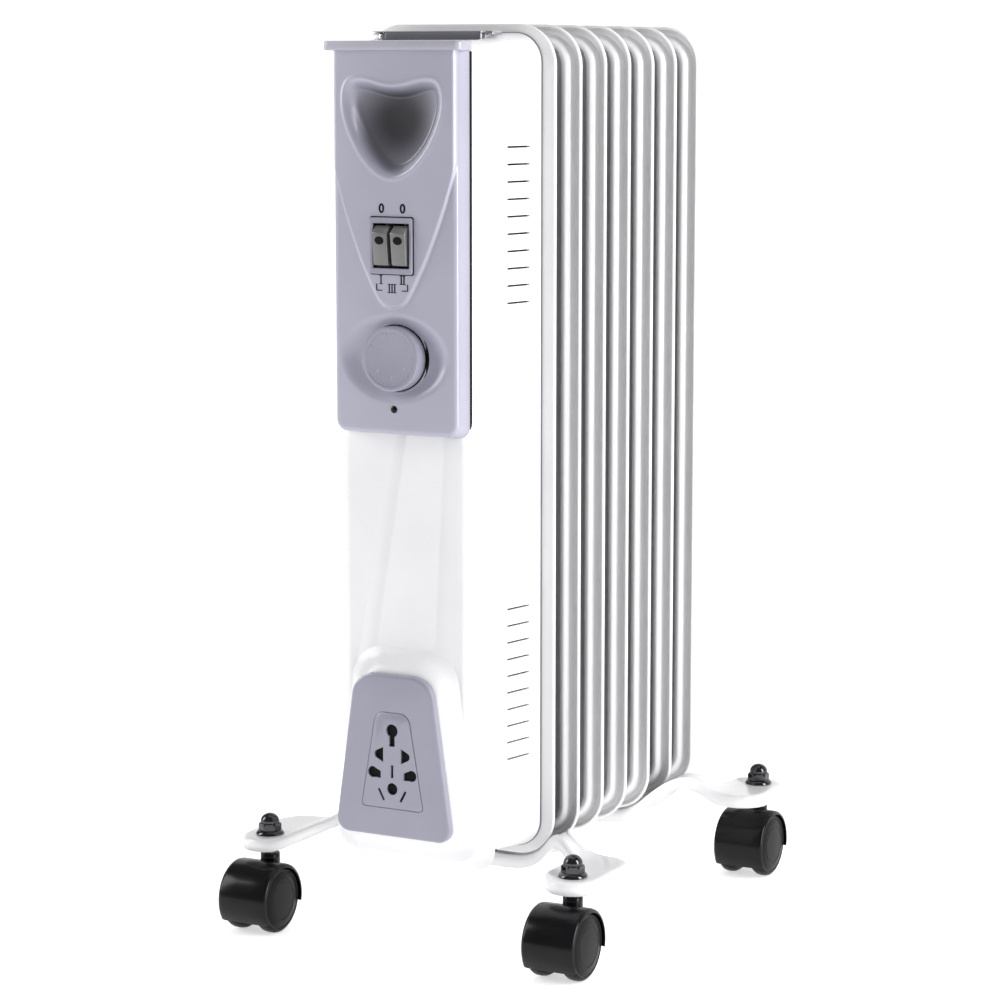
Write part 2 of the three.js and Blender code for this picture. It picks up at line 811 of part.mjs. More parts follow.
// one rocker, tipped so that its upper end is pressed in
function rocker(x) {
  const profile = new THREE.Shape();
  profile.moveTo(-rockerHalfZ, -rockerEndReach);
  profile.lineTo(rockerCrestZ, -rockerCrestReach);
  profile.lineTo(rockerHalfZ, -rockerEndReach);
  profile.lineTo(rockerHalfZ - 0.5, -rockerEndReach + 5);
  profile.lineTo(5, 3);
  profile.lineTo(-5, 3);
  profile.lineTo(-rockerHalfZ + 0.5, -rockerEndReach + 5);
  profile.closePath();
  const shape = new THREE.ExtrudeGeometry(profile, { depth: rockerWidth, bevelEnabled: false });
  shape.translate(0, 0, -rockerWidth / 2);
  shape.rotateY(-Math.PI / 2);
  shape.rotateX(THREE.MathUtils.degToRad(-rockerTilt));
  const pin = rod('x', rockerPinR, -rockerWidth / 2 - 0.8, rockerWidth / 2 + 0.8, 0, 0, 10);
  return join(solid(shape), pin).translate(x, rockerPivotY, finBottom + switchZ);
}

// ---- mains socket -----------------------------------------------------------------------------

function socketPlate() {
  const front = -plateFront;
  const rear = -socketBumpFront - gap;
  const outline = trapezoid(
    plateBottomHalf, plateTopHalf, finBottom + plateBottom, finBottom + plateTop, plateCornerR,
  );
  const hole = trapezoid(
    insertBottomHalf, insertTopHalf, finBottom + insertBottom, finBottom + insertTop, insertCornerR,
  );
  return cut(
    solid(prism(outline, front, rear, 4, 1.5, 1)),
    solid(prism(hole, front - 1, rear + 1, 3)),
  );
}

// the pin openings of a multi-standard socket, in X and Z about the insert
function pinHoles(front, rear) {
  const z = finBottom;
  const slant = (x, tilt) => block(-0.9, 0.9, front, rear, -4.4, 4.4)
    .rotate(0, tilt, 0).translate(x, 0, z + 56.5);
  return [
    rod('y', 4.6, front, rear, 0, z + 101.5, 12),
    block(-2.2, 2.2, front, rear, z + 90.5, z + 99),
    rod('y', 3.3, front, rear, -10.6, z + 84.3, 8),
    rod('y', 3.3, front, rear, 10.6, z + 84.3, 8),
    block(-9.6, -6.6, front, rear, z + 79, z + 89.6),
    block(6.6, 9.6, front, rear, z + 79, z + 89.6),
    rod('y', 3.8, front, rear, -15.2, z + 71.6, 10),
    rod('y', 3.8, front, rear, 15.2, z + 71.6, 10),
    block(-14.5, -8.6, front, rear, z + 67.6, z + 72.6),
    block(8.6, 14.5, front, rear, z + 67.6, z + 72.6),
    block(-1, 1, front, rear, z + 68.5, z + 77.5),
    rod('y', 4.2, front, rear, 0, z + lowerPinZ, 10),
    slant(-8.2, -28),
    slant(8.2, 28),
  ];
}

function socketInsert() {
  const front = -plateFront;
  const inset = gap;
  const rear = front + insertDepth;
  const outline = trapezoid(
    insertBottomHalf - inset, insertTopHalf - inset,
    finBottom + insertBottom + inset, finBottom + insertTop - inset, insertCornerR,
  );
  return cut(
    solid(prism(outline, front, rear, 3)),
    ...pinHoles(front - 1, rear + 1),
  );
}

const carrierClear = 1.2;

// insulating carrier behind the insert, with a chamber for each group of contacts
function contactCarrier() {
  const front = -plateFront + insertDepth + gap;
  const rear = front + 14;
  const low = finBottom + insertBottom + carrierClear;
  const high = finBottom + insertTop - carrierClear;
  const outline = trapezoid(
    insertBottomHalf - carrierClear, insertTopHalf - carrierClear, low, high, insertCornerR,
  );
  const lowerChambers = cut(
    solid(prism(trapezoid(insertBottomHalf - 3.5, 16.8, low + 3, high - 38, 4), front - 1, rear - 3, 2)),
    block(-3, 3, front - 2, rear, low, high),
  );
  return cut(
    solid(prism(outline, front, rear, 2)),
    lowerChambers,
    rod('y', 4.8, front - 1, rear - 3, 0, finBottom + lowerPinZ, 10),
    block(-13.5, 13.5, front - 1, rear - 3, high - 36, high - 24),
    block(-7, 7, front - 1, rear - 3, high - 22, high - 4),
  );
}

// ---- handle -------------------------------------------------------------------------------------

const handleLow = finBottom + handleTop - handleHeight;
const handleHigh = finBottom + handleTop;
const handleRodZ = (handleLow + handleHigh) / 2;

function handleGrip() {
  const outline = roundedRect(handleDepth / 2, handleLow, handleHigh, 4);
  const shape = prism(outline, 0, 2 * gripHalf, 2);
  shape.translate(0, -gripHalf, 0);
  shape.rotateZ(Math.PI / 2);
  shape.translate(0, handleY, 0);
  return cut(
    solid(shape),
    rod('x', handleRodR + gap, -gripHalf - 1, gripHalf + 1, handleY, handleRodZ, 10),
  );
}

// steel bar through the grip with a lug at each end that seats on the cover
function handleBar() {
  const lugLow = finBottom + handleTop - 2.6;
  let body = rod('x', handleRodR, -gripHalf - 1, gripHalf + 1, handleY, handleRodZ, 10);
  const half = handleDepth / 2 - 0.5;
  for (const side of [-1, 1]) {
    const inner = side * (gripHalf + gap);
    const wall = side * (pocketHalfX - gap);
    const outer = side * handleHalf;
    const [a, b] = [Math.min(inner, wall), Math.max(inner, wall)];
    const [c, d] = [Math.min(inner, outer), Math.max(inner, outer)];
    body = join(
      body,
      block(a, b, handleY - half, handleY + half, handleLow + 1, handleHigh),
      block(c, d, handleY - half, handleY + half, lugLow, handleHigh),
    );
  }
  return body;
}

// ---- electrical pieces inside the cover -------------------------------------------------------------

function terminalBlock() {
  const y = -40;
  const z = finBottom + 250;
  let body = block(-22, 22, y, y + 16, z - 9, z + 9);
  for (const x of [-14, 0, 14]) {
    body = cut(body, rod('z', 2.6, z - 10, z + 10, x, y + 8, 6), rod('y', 2, y - 1, y + 6, x, z, 6));
  }
  return body;
}

function thermalCutOut() {
  const z = finBottom + 470;
  return join(
    rod('y', 8, -10, -4, 0, z, 12),
    block(-12, 12, -12, -9, z - 3, z + 3),
  );
}

// ---- feet ---------------------------------------------------------------------------------------

// heights of the foot's top surface at distances from the middle, out to the tip
function footLevels() {
  const centre = finBottom - footCentreDrop;
  const finEdge = finWidth / 2;
  return [
    [finEdge - finCornerR - 2, centre],
    [finEdge - 15, centre + 3],
    [finEdge - 5, finBottom + 5],
    [finEdge + 1, finBottom + footHump - 5],
    [finEdge + 6, finBottom + footHump],
    [finEdge + 13, finBottom + footHump - 1],
    [finEdge + 21, footArmTop + 5],
    [finEdge + 30, footArmTop],
    [footNutX + footTipR + 2, footArmTop],
  ];
}

// a strip that follows the foot's height, `down` thick, as wide as the whole foot
function footStrip(drop, down, yFront, yRear) {
  const right = footLevels();
  const left = right.map(([x, z]) => [-x, z]).reverse();
  const stations = [...left, ...right];
  const points = stations.map(([x, z]) => new THREE.Vector2(x, z - drop));
  const under = stations.map(([x, z]) => new THREE.Vector2(x, z - drop - down)).reverse();
  return solid(prism(new THREE.Shape([...points, ...under]), yFront, yRear));
}

// plan outline of a foot in X and Y, arms swept towards -Y, clamp at the origin
function footPlan(sweep, inset) {
  const tip = footTipR - inset;
  const half = footHalfDepth - inset;
  const armRear = -footArmRear - inset;
  const outerX = footNutX + tip;
  const innerX = footNutX - tip;
  const shoulder = footShoulderX - inset / 2;
  const edge = new THREE.Path();
  edge.moveTo(footMiddleHalf, half);
  edge.quadraticCurveTo(shoulder - 14, half - 2, shoulder, armRear + 13);
  edge.quadraticCurveTo(shoulder + 12, armRear, footNutX - 6, armRear);
  edge.quadraticCurveTo(outerX, armRear, outerX, armRear - 18);
  edge.lineTo(outerX, -sweep);
  edge.absarc(footNutX, -sweep, tip, 0, Math.PI, true);
  edge.lineTo(innerX, -sweep + 6);
  edge.quadraticCurveTo(innerX - 3, -half - 16, shoulder - 12, -half - 4);
  edge.quadraticCurveTo(footMiddleHalf + 10, -half, footMiddleHalf - 4, -half);
  const right = edge.getPoints(footArcSteps);
  const left = right.map(({ x, y }) => new THREE.Vector2(-x, y)).reverse();
  return new THREE.Shape([...right, ...left]);
}

// the plan outline as a tall solid
function footColumn(sweep, inset) {
  const options = { depth: 2 * footArmTop, bevelEnabled: false, curveSegments: 1 };
  return solid(new THREE.ExtrudeGeometry(footPlan(sweep, inset), options));
}

function foot(sweep, clampY, direction) {
  const column = footColumn(sweep, 0);
  const reach = sweep + footTipR + 2 * boolReach;
  const plate = column.intersect(footStrip(0, footThick, -reach, reach));
  const skirt = cut(column, footColumn(sweep, footThick))
    .intersect(footStrip(footThick / 2, footFlange, -reach, reach));
  let body = join(plate, skirt);
  for (const side of [-1, 1]) {
    body = cut(
      body,
      rod('z', stemR + gap, 0, 2 * footArmTop, side * footNutX, -sweep, 10),
      rod('z', uBoltR + gap, 0, 2 * footArmTop, side * uBoltHalf, 0, 10),
    );
  }
  return body.rotate(0, 0, direction > 0 ? 180 : 0).translate(0, clampY, 0);
}

const uBoltHalf = headerTubeR + uBoltR + 1;
const uBoltLow = finBottom - footCentreDrop - footThick - 14;

function uBolt(clampY) {
  const bolt = hairpin(uBoltR, uBoltHalf, lowHeaderZ - uBoltLow);
  return bolt.rotate(90, 0, 0).translate(0, clampY, lowHeaderZ);
}

function wingNut(x, clampY) {
  const high = finBottom - footCentreDrop - footThick - gap;
  const low = high - 7;
  const body = join(
    rod('z', 6, low, high, x, clampY, 10),
    block(x - 1.2, x + 1.2, clampY - 14, clampY + 14, low - 3, high - 1),
  );
  return cut(body, rod('z', uBoltR + gap, low - 9, high + 1, x, clampY, 8));
}

// ---- casters --------------------------------------------------------------------------------------

function acornNut() {
  const seat = footArmTop + gap;
  const flange = [[0, 0], [10, 0], [10, 1], [8, 3], [0, 3]];
  const dome = [[0, 0], [6.4, 0], [6, 3], [3.6, 6], [0, 6.8]];
  const body = join(
    turned(flange, 'z', 12),
    rod('z', 7.6, 2, 8, 0, 0, 6),
    turned(dome, 'z', 8).translate(0, 0, 7.9),
  );
  return cut(body, rod('z', stemR + gap, -1, 9, 0, 0, 10)).translate(0, 0, seat);
}

function casterStem() {
  const plateUnder = footArmTop - footThick - gap;
  return join(
    rod('z', stemR, stemLow, footArmTop + 8, 0, 0, 10),
    rod('z', 9, plateUnder - 2, plateUnder, 0, 0, 12),
    rod('z', 6.5, plateUnder - 6, plateUnder - 1, 0, 0, 6),
  );
}

// wheel centre is `stemTrail` ahead of the stem
function casterHood() {
  const y = -stemTrail;
  const wide = wheelOuterX + 0.4;
  const shell = cut(
    rod('x', hoodR, -wide, wide, y, wheelR, wheelSides),
    rod('x', wheelR + hoodClear, -wide - 1, wide + 1, y, wheelR, wheelSides),
    block(-wide - 1, wide + 1, y - hoodR - 1, y + hoodR + 1, -hoodR, wheelR + 2),
  );
  const webHalf = wheelInnerX - 0.9;
  const web = cut(
    rod('x', wheelR + hoodClear + 0.2, -webHalf, webHalf, y, wheelR, wheelSides),
    block(-webHalf - 1, webHalf + 1, y - hoodR, y + hoodR, -hoodR, wheelR / 2),
  );
  const socket = join(
    rod('z', collarR - 0.3, wheelR + 3, collarTop - 2, 0, 0, 12),
    rod('z', collarR + 0.8, hoodR + wheelR - 9, collarTop, 0, 0, 12)
      .subtract(rod('x', wheelR + hoodClear, -wide, wide, y, wheelR, wheelSides)),
  );
  const axle = rod('x', axleR, -wheelOuterX + 3.5, wheelOuterX - 3.5, y, wheelR, 10);
  return cut(
    join(shell, web, socket, axle),
    rod('z', stemR + gap, stemLow - gap, collarTop + 1, 0, 0, 10),
  );
}

function casterWheel(side) {
  const width = wheelOuterX - wheelInnerX;
  const rim = wheelR / Math.cos(Math.PI / wheelSides);
  const points = [
    [axleR + gap, 0], [rim, 0], [rim, width - 5], [rim - 5, width - 1],
    [0, width], [0, width - 3], [axleR + gap, width - 3], [axleR + gap, 0],
  ];
  const wheel = turned(points, 'x', wheelSides).translate(wheelInnerX, 0, 0);
  const placed = side > 0 ? wheel : wheel.rotate(0, 180, 0);
  return placed.translate(0, -stemTrail, wheelR);
}

// ---- everything in place ------------------------------------------------------------------------------

for (let number = 1; number <= finCount; number += 1) {
  add(`fin_${number}`, fin(number), whitePaint);
}
add('element_flange', elementFlange(), brass);
add('heating_element_1', heatingElement(elementLegZ), steel);
add('heating_element_2', heatingElement(-elementLegZ), steel);
add('filler_plug', fillerPlug(), steel);
add('front_cover', frontCover(), whitePlastic);
add('heat_shield', heatShield(), steel);
add('cord_grommet', cordGrommet(), rubber);
add('control_panel', controlPanel(), greyPlastic);
add('panel_lid', panelLid(), greyPlastic);
add('thermostat_knob', thermostatKnob(), greyPlastic);
add('thermostat_shaft', thermostatShaft(), steel);
add('thermostat_body', thermostatBody(), whitePlastic);
add('indicator_lens', indicatorLens(), blackPlastic);
add('switch_frame', switchFrame(), greyPlastic);
add('switch_body', switchBody(), blackPlastic);
add('rocker_left', rocker(-switchWindowHalfX + 0.6 + rockerWidth / 2), lightGreyPlastic);
add('rocker_right', rocker(switchWindowHalfX - 0.6 - rockerWidth / 2), lightGreyPlastic);
add('socket_plate', socketPlate(), greyPlastic);
add('socket_insert', socketInsert(), greyPlastic);
add('contact_carrier', contactCarrier(), blackPlastic);
add('handle_grip', handleGrip(), greyPlastic);
add('handle_bar', handleBar(), steel);
add('terminal_block', terminalBlock(), whitePlastic);
add('thermal_cut_out', thermalCutOut(), blackPlastic);
add('front_foot', foot(frontFootSweep, frontClampY, -1), whitePaint);
add('rear_foot', foot(rearFootSweep, rearClampY, 1), whitePaint);
for (const [end, clampY] of [['front', frontClampY], ['rear', rearClampY]]) {
  add(`${end}_u_bolt`, uBolt(clampY), steel);
  add(`${end}_wing_nut_left`, wingNut(-uBoltHalf, clampY), steel);
  add(`${end}_wing_nut_right`, wingNut(uBoltHalf, clampY), steel);
}
const casterPlaces = [
  ['front_left', -footNutX, frontBoltY],
  ['front_right', footNutX, frontBoltY],
  ['rear_left', -footNutX, rearBoltY],
  ['rear_right', footNutX, rearBoltY],
];
for (const [place, x, y] of casterPlaces) {
  const caster = new THREE.Group();
  caster.position.set(x, y, 0);
  assembly.add(caster);
  add(`${place}_acorn_nut`, acornNut(), darkChrome, caster);
  add(`${place}_stem`, casterStem(), steel, caster);
  add(`${place}_hood`, casterHood(), blackPlastic, caster);
  add(`${place}_wheel_left`, casterWheel(-1), blackPlastic, caster);
  add(`${place}_wheel_right`, casterWheel(1), blackPlastic, caster);
}

export default heater;
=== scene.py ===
import math

import bmesh
import bpy
import numpy as np
from mathutils import Matrix, Vector


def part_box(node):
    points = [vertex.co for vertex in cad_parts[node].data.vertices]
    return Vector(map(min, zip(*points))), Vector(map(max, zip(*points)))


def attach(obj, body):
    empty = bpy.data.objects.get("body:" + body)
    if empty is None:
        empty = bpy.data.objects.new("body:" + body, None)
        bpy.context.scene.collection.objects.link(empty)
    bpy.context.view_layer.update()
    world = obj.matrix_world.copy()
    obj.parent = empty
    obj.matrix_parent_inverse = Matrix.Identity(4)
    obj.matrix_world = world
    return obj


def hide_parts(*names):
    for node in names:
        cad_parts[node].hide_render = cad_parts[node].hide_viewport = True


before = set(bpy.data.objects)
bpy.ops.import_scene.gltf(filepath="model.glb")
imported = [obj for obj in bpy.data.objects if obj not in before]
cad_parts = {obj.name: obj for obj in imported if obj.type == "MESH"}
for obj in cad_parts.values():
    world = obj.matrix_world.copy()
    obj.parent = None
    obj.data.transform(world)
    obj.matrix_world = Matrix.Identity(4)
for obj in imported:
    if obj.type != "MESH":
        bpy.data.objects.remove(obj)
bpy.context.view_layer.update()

MM = 0.001
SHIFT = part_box("front_cover")[1].y / MM + 0.3
FIN_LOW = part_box("fin_1")[0].z / MM
FIN_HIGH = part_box("fin_1")[1].z / MM
BODY = "heater_body"
CORNERS = ("front_left", "front_right", "rear_left", "rear_right")
CREASE = 32


def shown(name, data):
    """An object made from its data and added to the scene."""
    made = bpy.data.objects.new(name, data)
    bpy.context.scene.collection.objects.link(made)
    return made


# ---- camera ----

FOCAL_LENGTH = 110.6
SENSOR_WIDTH = 36
CAMERA_X, CAMERA_Y, CAMERA_Z = 1050.5, -1864.6, 615.4
VIEW_DIRECTION = (-0.4744, 0.8688, -0.1417)


def make_camera():
    """The photograph's viewpoint, aimed along its line of sight."""
    data = bpy.data.cameras.new("camera")
    data.lens = FOCAL_LENGTH
    data.sensor_width = SENSOR_WIDTH
    camera = shown("camera", data)
    camera.location = (CAMERA_X * MM, (SHIFT + CAMERA_Y) * MM, CAMERA_Z * MM)
    camera.rotation_euler = Vector(VIEW_DIRECTION).to_track_quat("-Z", "Y").to_euler()
    bpy.context.scene.camera = camera


make_camera()


# ---- materials ----

def paint_shade(tree, coords, ramp, shader, centre, radii, low):
    """Paints shade: darkens the ramp's colour towards the centre of an ellipsoid, down to a share of it."""
    inside = tree.nodes.new("ShaderNodeMapping")
    inside.inputs["Scale"].default_value = [1 / r for r in radii]
    inside.inputs["Location"].default_value = [-c / r for c, r in zip(centre, radii)]
    ball = tree.nodes.new("ShaderNodeTexGradient")
    ball.gradient_type = "SPHERICAL"
    share = tree.nodes.new("ShaderNodeMapRange")
    share.interpolation_type = "SMOOTHSTEP"
    share.inputs["From Max"].default_value = 0.85
    share.inputs["To Min"].default_value = 1.0
    share.inputs["To Max"].default_value = low
    mix = tree.nodes.new("ShaderNodeVectorMath")
    mix.operation = "SCALE"
    tree.links.new(coords.outputs["Object"], inside.inputs["Vector"])
    tree.links.new(inside.outputs["Vector"], ball.inputs["Vector"])
    tree.links.new(ball.outputs["Fac"], share.inputs["Value"])
    tree.links.new(ramp.outputs["Color"], mix.inputs["Vector"])
    tree.links.new(share.outputs["Result"], mix.inputs["Scale"])
    tree.links.new(mix.outputs["Vector"], shader.inputs["Base Color"])


def material(name, color, other, rough, rough_to, metal=0.0, coat=0.0, grain=400.0, bump=0.02,
             patch=18.0, stretch=(1, 1, 1), specular=0.5, glow=0.0, painted_shade=None):
    """A Principled surface: two close colours in soft patches, roughness that varies, and a fine grain, with
    painted shade when it is given.
    """
    made = bpy.data.materials.new(name)
    made.use_nodes = True
    tree = made.node_tree
    shader = tree.nodes["Principled BSDF"]
    shader.inputs["Metallic"].default_value = metal
    shader.inputs["Coat Weight"].default_value = coat
    shader.inputs["Coat Roughness"].default_value = 0.08
    shader.inputs["Specular IOR Level"].default_value = specular
    shader.inputs["Emission Color"].default_value = (1, 1, 1, 1)
    shader.inputs["Emission Strength"].default_value = glow
    coords = tree.nodes.new("ShaderNodeTexCoord")
    mapping = tree.nodes.new("ShaderNodeMapping")
    mapping.inputs["Scale"].default_value = stretch
    tree.links.new(coords.outputs["Object"], mapping.inputs["Vector"])

    def noise(scale, detail):
        """A noise texture that lies on the piece and moves with it."""
        node = tree.nodes.new("ShaderNodeTexNoise")
        node.inputs["Scale"].default_value = scale
        node.inputs["Detail"].default_value = detail
        tree.links.new(mapping.outputs["Vector"], node.inputs["Vector"])
        return node

    patches = noise(patch, 3)
    ramp = tree.nodes.new("ShaderNodeValToRGB")
    ramp.color_ramp.elements[0].position = 0.35
    ramp.color_ramp.elements[1].position = 0.65
    ramp.color_ramp.elements[0].color = (*color, 1)
    ramp.color_ramp.elements[1].color = (*other, 1)
    tree.links.new(patches.outputs["Fac"], ramp.inputs["Fac"])
    tree.links.new(ramp.outputs["Color"], shader.inputs["Base Color"])
    # painted shade: when given, the colour is darkened towards the middle of an ellipsoid
    if painted_shade:
        paint_shade(tree, coords, ramp, shader, *painted_shade)
    fine = noise(grain, 2)
    spread = tree.nodes.new("ShaderNodeMapRange")
    spread.inputs["To Min"].default_value = rough
    spread.inputs["To Max"].default_value = rough_to
    tree.links.new(fine.outputs["Fac"], spread.inputs["Value"])
    tree.links.new(spread.outputs["Result"], shader.inputs["Roughness"])
    relief = tree.nodes.new("ShaderNodeBump")
    relief.inputs["Strength"].default_value = bump
    relief.inputs["Distance"].default_value = 0.0004
    tree.links.new(fine.outputs["Fac"], relief.inputs["Height"])
    tree.links.new(relief.outputs["Normal"], shader.inputs["Normal"])
    return made


# painted shade in the panel's dish, darker towards its middle: centre and reach in metres, and the share left
# there
DISH_PAINTED_SHADE = ((0, (SHIFT - 79) * MM, (FIN_LOW + 516) * MM), (0.055, 0.017, 0.055), 0.07)

WHITE_PAINT = material("white_paint", (0.82, 0.82, 0.83), (0.84, 0.84, 0.85), 0.22, 0.30, coat=0.3,
                       grain=700, bump=0.02)
# painted shade: a dark grey for the fins' inner faces, which stands in for the shade between the fins
FIN_PAINTED_SHADE = material("fin_painted_shade", (0.34, 0.34, 0.35), (0.37, 0.37, 0.38), 0.35, 0.45, grain=700, bump=0.02)
WHITE_PLASTIC = material("white_plastic", (0.82, 0.82, 0.84), (0.85, 0.85, 0.865), 0.24, 0.34,
                         grain=500, bump=0.05)
PEARL = material("pearl_grey", (0.300, 0.297, 0.372), (0.320, 0.317, 0.392), 0.26, 0.36, metal=0.1,
                 coat=0.2, grain=900, bump=0.05)
# the panel's material carries painted shade that darkens its finger dish towards the middle
PANEL = material("pearl_panel", (0.395, 0.390, 0.480), (0.415, 0.410, 0.500), 0.26, 0.36, metal=0.1,
                 coat=0.2, grain=900, bump=0.05, painted_shade=DISH_PAINTED_SHADE)
PEARL_LIGHT = material("pearl_light", (0.40, 0.40, 0.47), (0.43, 0.43, 0.50), 0.28, 0.4, metal=0.1,
                       grain=900, bump=0.05)
ROCKER = material("rocker_grey", (0.15, 0.147, 0.15), (0.17, 0.166, 0.17), 0.25, 0.35, metal=0.2,
                  coat=0.3, grain=800, bump=0.04)
GRIP = material("grip_grey", (0.13, 0.13, 0.155), (0.16, 0.16, 0.185), 0.32, 0.45, grain=700, bump=0.15)
BLACK = material("black_plastic", (0.003, 0.003, 0.0035), (0.005, 0.005, 0.006), 0.16, 0.26, grain=350,
                 bump=0.03, specular=0.22)
WHEEL_BLACK = material("wheel_black", (0.003, 0.003, 0.0035), (0.005, 0.005, 0.006), 0.3, 0.42, grain=350,
                       bump=0.03, specular=0.12)
# black for printed marks; the same black is also the painted shade and shadow of the gaps and holes
INK_AND_SHADE = material("ink_and_painted_shade", (0.003, 0.003, 0.004), (0.006, 0.006, 0.007), 0.45, 0.55, grain=900, bump=0.02,
               specular=0.1)
DARK_CHROME = material("dark_chrome", (0.06, 0.06, 0.065), (0.08, 0.08, 0.085), 0.08, 0.16, metal=1.0,
                       grain=500, bump=0.02)
STEEL = material("steel", (0.5, 0.5, 0.52), (0.58, 0.58, 0.6), 0.2, 0.34, metal=1.0, grain=300,
                 bump=0.04, stretch=(1, 6, 6))
BRASS = material("brass", (0.62, 0.45, 0.18), (0.68, 0.5, 0.22), 0.25, 0.35, metal=1.0)
RUBBER = material("rubber", (0.015, 0.015, 0.015), (0.025, 0.025, 0.025), 0.6, 0.8, bump=0.2)
CERAMIC = material("ceramic", (0.7, 0.7, 0.66), (0.76, 0.76, 0.72), 0.4, 0.55)
FLOOR = material("floor", (0.88, 0.88, 0.88), (0.9, 0.9, 0.9), 0.6, 0.7, grain=40, bump=0.0, patch=2,
                 glow=0.57)


# ---- mesh helpers ----

def make(name, parts, finish, crease=CREASE):
    """A mesh object from (vertices, faces) parts in millimetres, with edges sharper than crease kept."""
    verts, faces, base = [], [], 0
    for points, polygons in parts:
        verts.append(np.asarray(points, float))
        faces += [tuple(int(i) + base for i in polygon) for polygon in polygons]
        base += len(points)
    co = np.concatenate(verts)
    co[:, 1] += SHIFT
    mesh = bpy.data.meshes.new(name)
    mesh.from_pydata((co * MM).tolist(), [], faces)
    work = bmesh.new()
    work.from_mesh(mesh)
    bmesh.ops.remove_doubles(work, verts=work.verts, dist=1e-6)
    bmesh.ops.recalc_face_normals(work, faces=work.faces)
    work.to_mesh(mesh)
    work.free()
    mesh.shade_smooth()
    mesh.set_sharp_from_angle(angle=math.radians(crease))
    mesh.materials.append(finish)
    return shown(name, mesh)


def place(piece, body, slot, *nodes):
    """Puts a piece on its body, in place of the CAD nodes it stands for. The slot is not used."""
    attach(piece, body)
    if nodes:
        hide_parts(*nodes)
    return piece


def loft(rings, closed=False):
    """Quads between rings with equal point counts, capped at both ends, or the last joined to the first."""
    n = len(rings[0])
    total = len(rings)
    faces = []
    for k in range(total if closed else total - 1):
        a, b = k * n, ((k + 1) % total) * n
        for i in range(n):
            j = (i + 1) % n
            faces.append((a + i, a + j, b + j, b + i))
    if not closed:
        faces.append(tuple(range(n)))
        faces.append(tuple(range((total - 1) * n, total * n)))
    return np.concatenate(rings), faces


def grid_faces(rows, columns):
    """The quads of a grid of points that is stored row by row."""
    return [(a, a + 1, a + 1 + columns, a + columns)
            for row in range(rows - 1) for a in range(row * columns, (row + 1) * columns - 1)]


def rounded(corners, radii, steps=6):
    """A closed outline through corners, each rounded by an arc of its radius, exact as a rational curve."""
    out = []
    count = len(corners)
    for i, corner in enumerate(corners):
        c = np.array(corner, float)
        a = np.array(corners[i - 1], float) - c
        b = np.array(corners[(i + 1) % count], float) - c
        a, b = a / np.linalg.norm(a), b / np.linalg.norm(b)
        half = 0.5 * math.acos(max(-1.0, min(1.0, float(a @ b))))
        reach = radii[i] / math.tan(half)
        weight = math.sin(half)
        start, end = c + a * reach, c + b * reach
        for k in range(steps + 1):
            t = k / steps
            u, v, w = (1 - t) ** 2, 2 * weight * t * (1 - t), t * t
            out.append((u * start + v * c + w * end) / (u + v + w))
    return np.array(out)


def upright(outline, y):
    """An (x, z) outline stood up at distance y."""
    return np.stack([outline[:, 0], np.full(len(outline), float(y)), outline[:, 1]], 1)


def flat(outline, z):
    """An (x, y) outline laid at height z."""
    return np.stack([outline[:, 0], outline[:, 1], np.full(len(outline), float(z))], 1)


def across(outline, x):
    """A (y, z) outline stood up at distance x to the side."""
    return np.stack([np.full(len(outline), float(x)), outline[:, 0], outline[:, 1]], 1)


def rect(half, low, high, radius, steps=6):
    """A rounded rectangle about the middle plane, with one radius or one for each corner."""
    return trapezoid(half, half, low, high, radius, steps)


def trapezoid(bottom, top, low, high, radius, steps=8):
    """A rounded trapezoid about the middle plane, from its half-widths at the bottom and top."""
    corners = ((bottom, low), (top, high), (-top, high), (-bottom, low))
    radii = radius if isinstance(radius, tuple) else (radius,) * 4
    return rounded(corners, radii, steps)


def turned(profile, centre, axis, sides=48, ripple=0.0, ribs=0):
    """A turned shell: profile holds (radius, distance along axis). Ribs ripple its widest part."""
    angles = np.linspace(0, 2 * math.pi, sides, endpoint=False)
    widest = max(radius for radius, _ in profile)
    rings = []
    for radius, along in profile:
        r = radius + (ripple * np.cos(ribs * angles) if radius > 0.9 * widest else 0)
        u, v = r * np.cos(angles), r * np.sin(angles)
        w = np.full(sides, float(along))
        order = {"x": (w, u, v), "y": (u, w, v), "z": (u, v, w)}[axis]
        rings.append(np.stack(order, 1) + np.array(centre, float))
    return loft(rings)


def bar(centre, size, radius, steps=3, edge=0.6):
    """A block with rounded long corners and softened ends. Its length lies along x."""
    length, wide, tall = size
    rings = []
    for t, inset in ((0, edge), (edge * 0.4, edge * 0.25), (edge, 0), (length - edge, 0),
                     (length - edge * 0.4, edge * 0.25), (length, edge)):
        outline = rect(wide / 2 - inset, -tall / 2 + inset, tall / 2 - inset, max(radius - inset, 0.2), steps)
        rings.append(across(outline, t - length / 2) + np.array(centre, float))
    return loft(rings)


def boolean(piece, parts, operation):
    """Joins to or cuts from a piece a tool made of closed parts that don't touch each other."""
    tool = make("tool", parts, WHITE_PLASTIC)
    change = piece.modifiers.new("change", "BOOLEAN")
    change.operation = operation
    change.solver = "EXACT"
    change.object = tool
    graph = bpy.context.evaluated_depsgraph_get()
    mesh = bpy.data.meshes.new_from_object(piece.evaluated_get(graph))
    piece.modifiers.clear()
    old = piece.data
    piece.data = mesh
    bpy.data.meshes.remove(old)
    bpy.data.objects.remove(tool)
    mesh.shade_smooth()
    mesh.set_sharp_from_angle(angle=math.radians(CREASE))


def smoothstep(x):
    """Eases from 0 to 1 as x goes from 0 to 1."""
    t = np.clip(x, 0, 1)
    return t * t * (3 - 2 * t)


# ---- fins ----

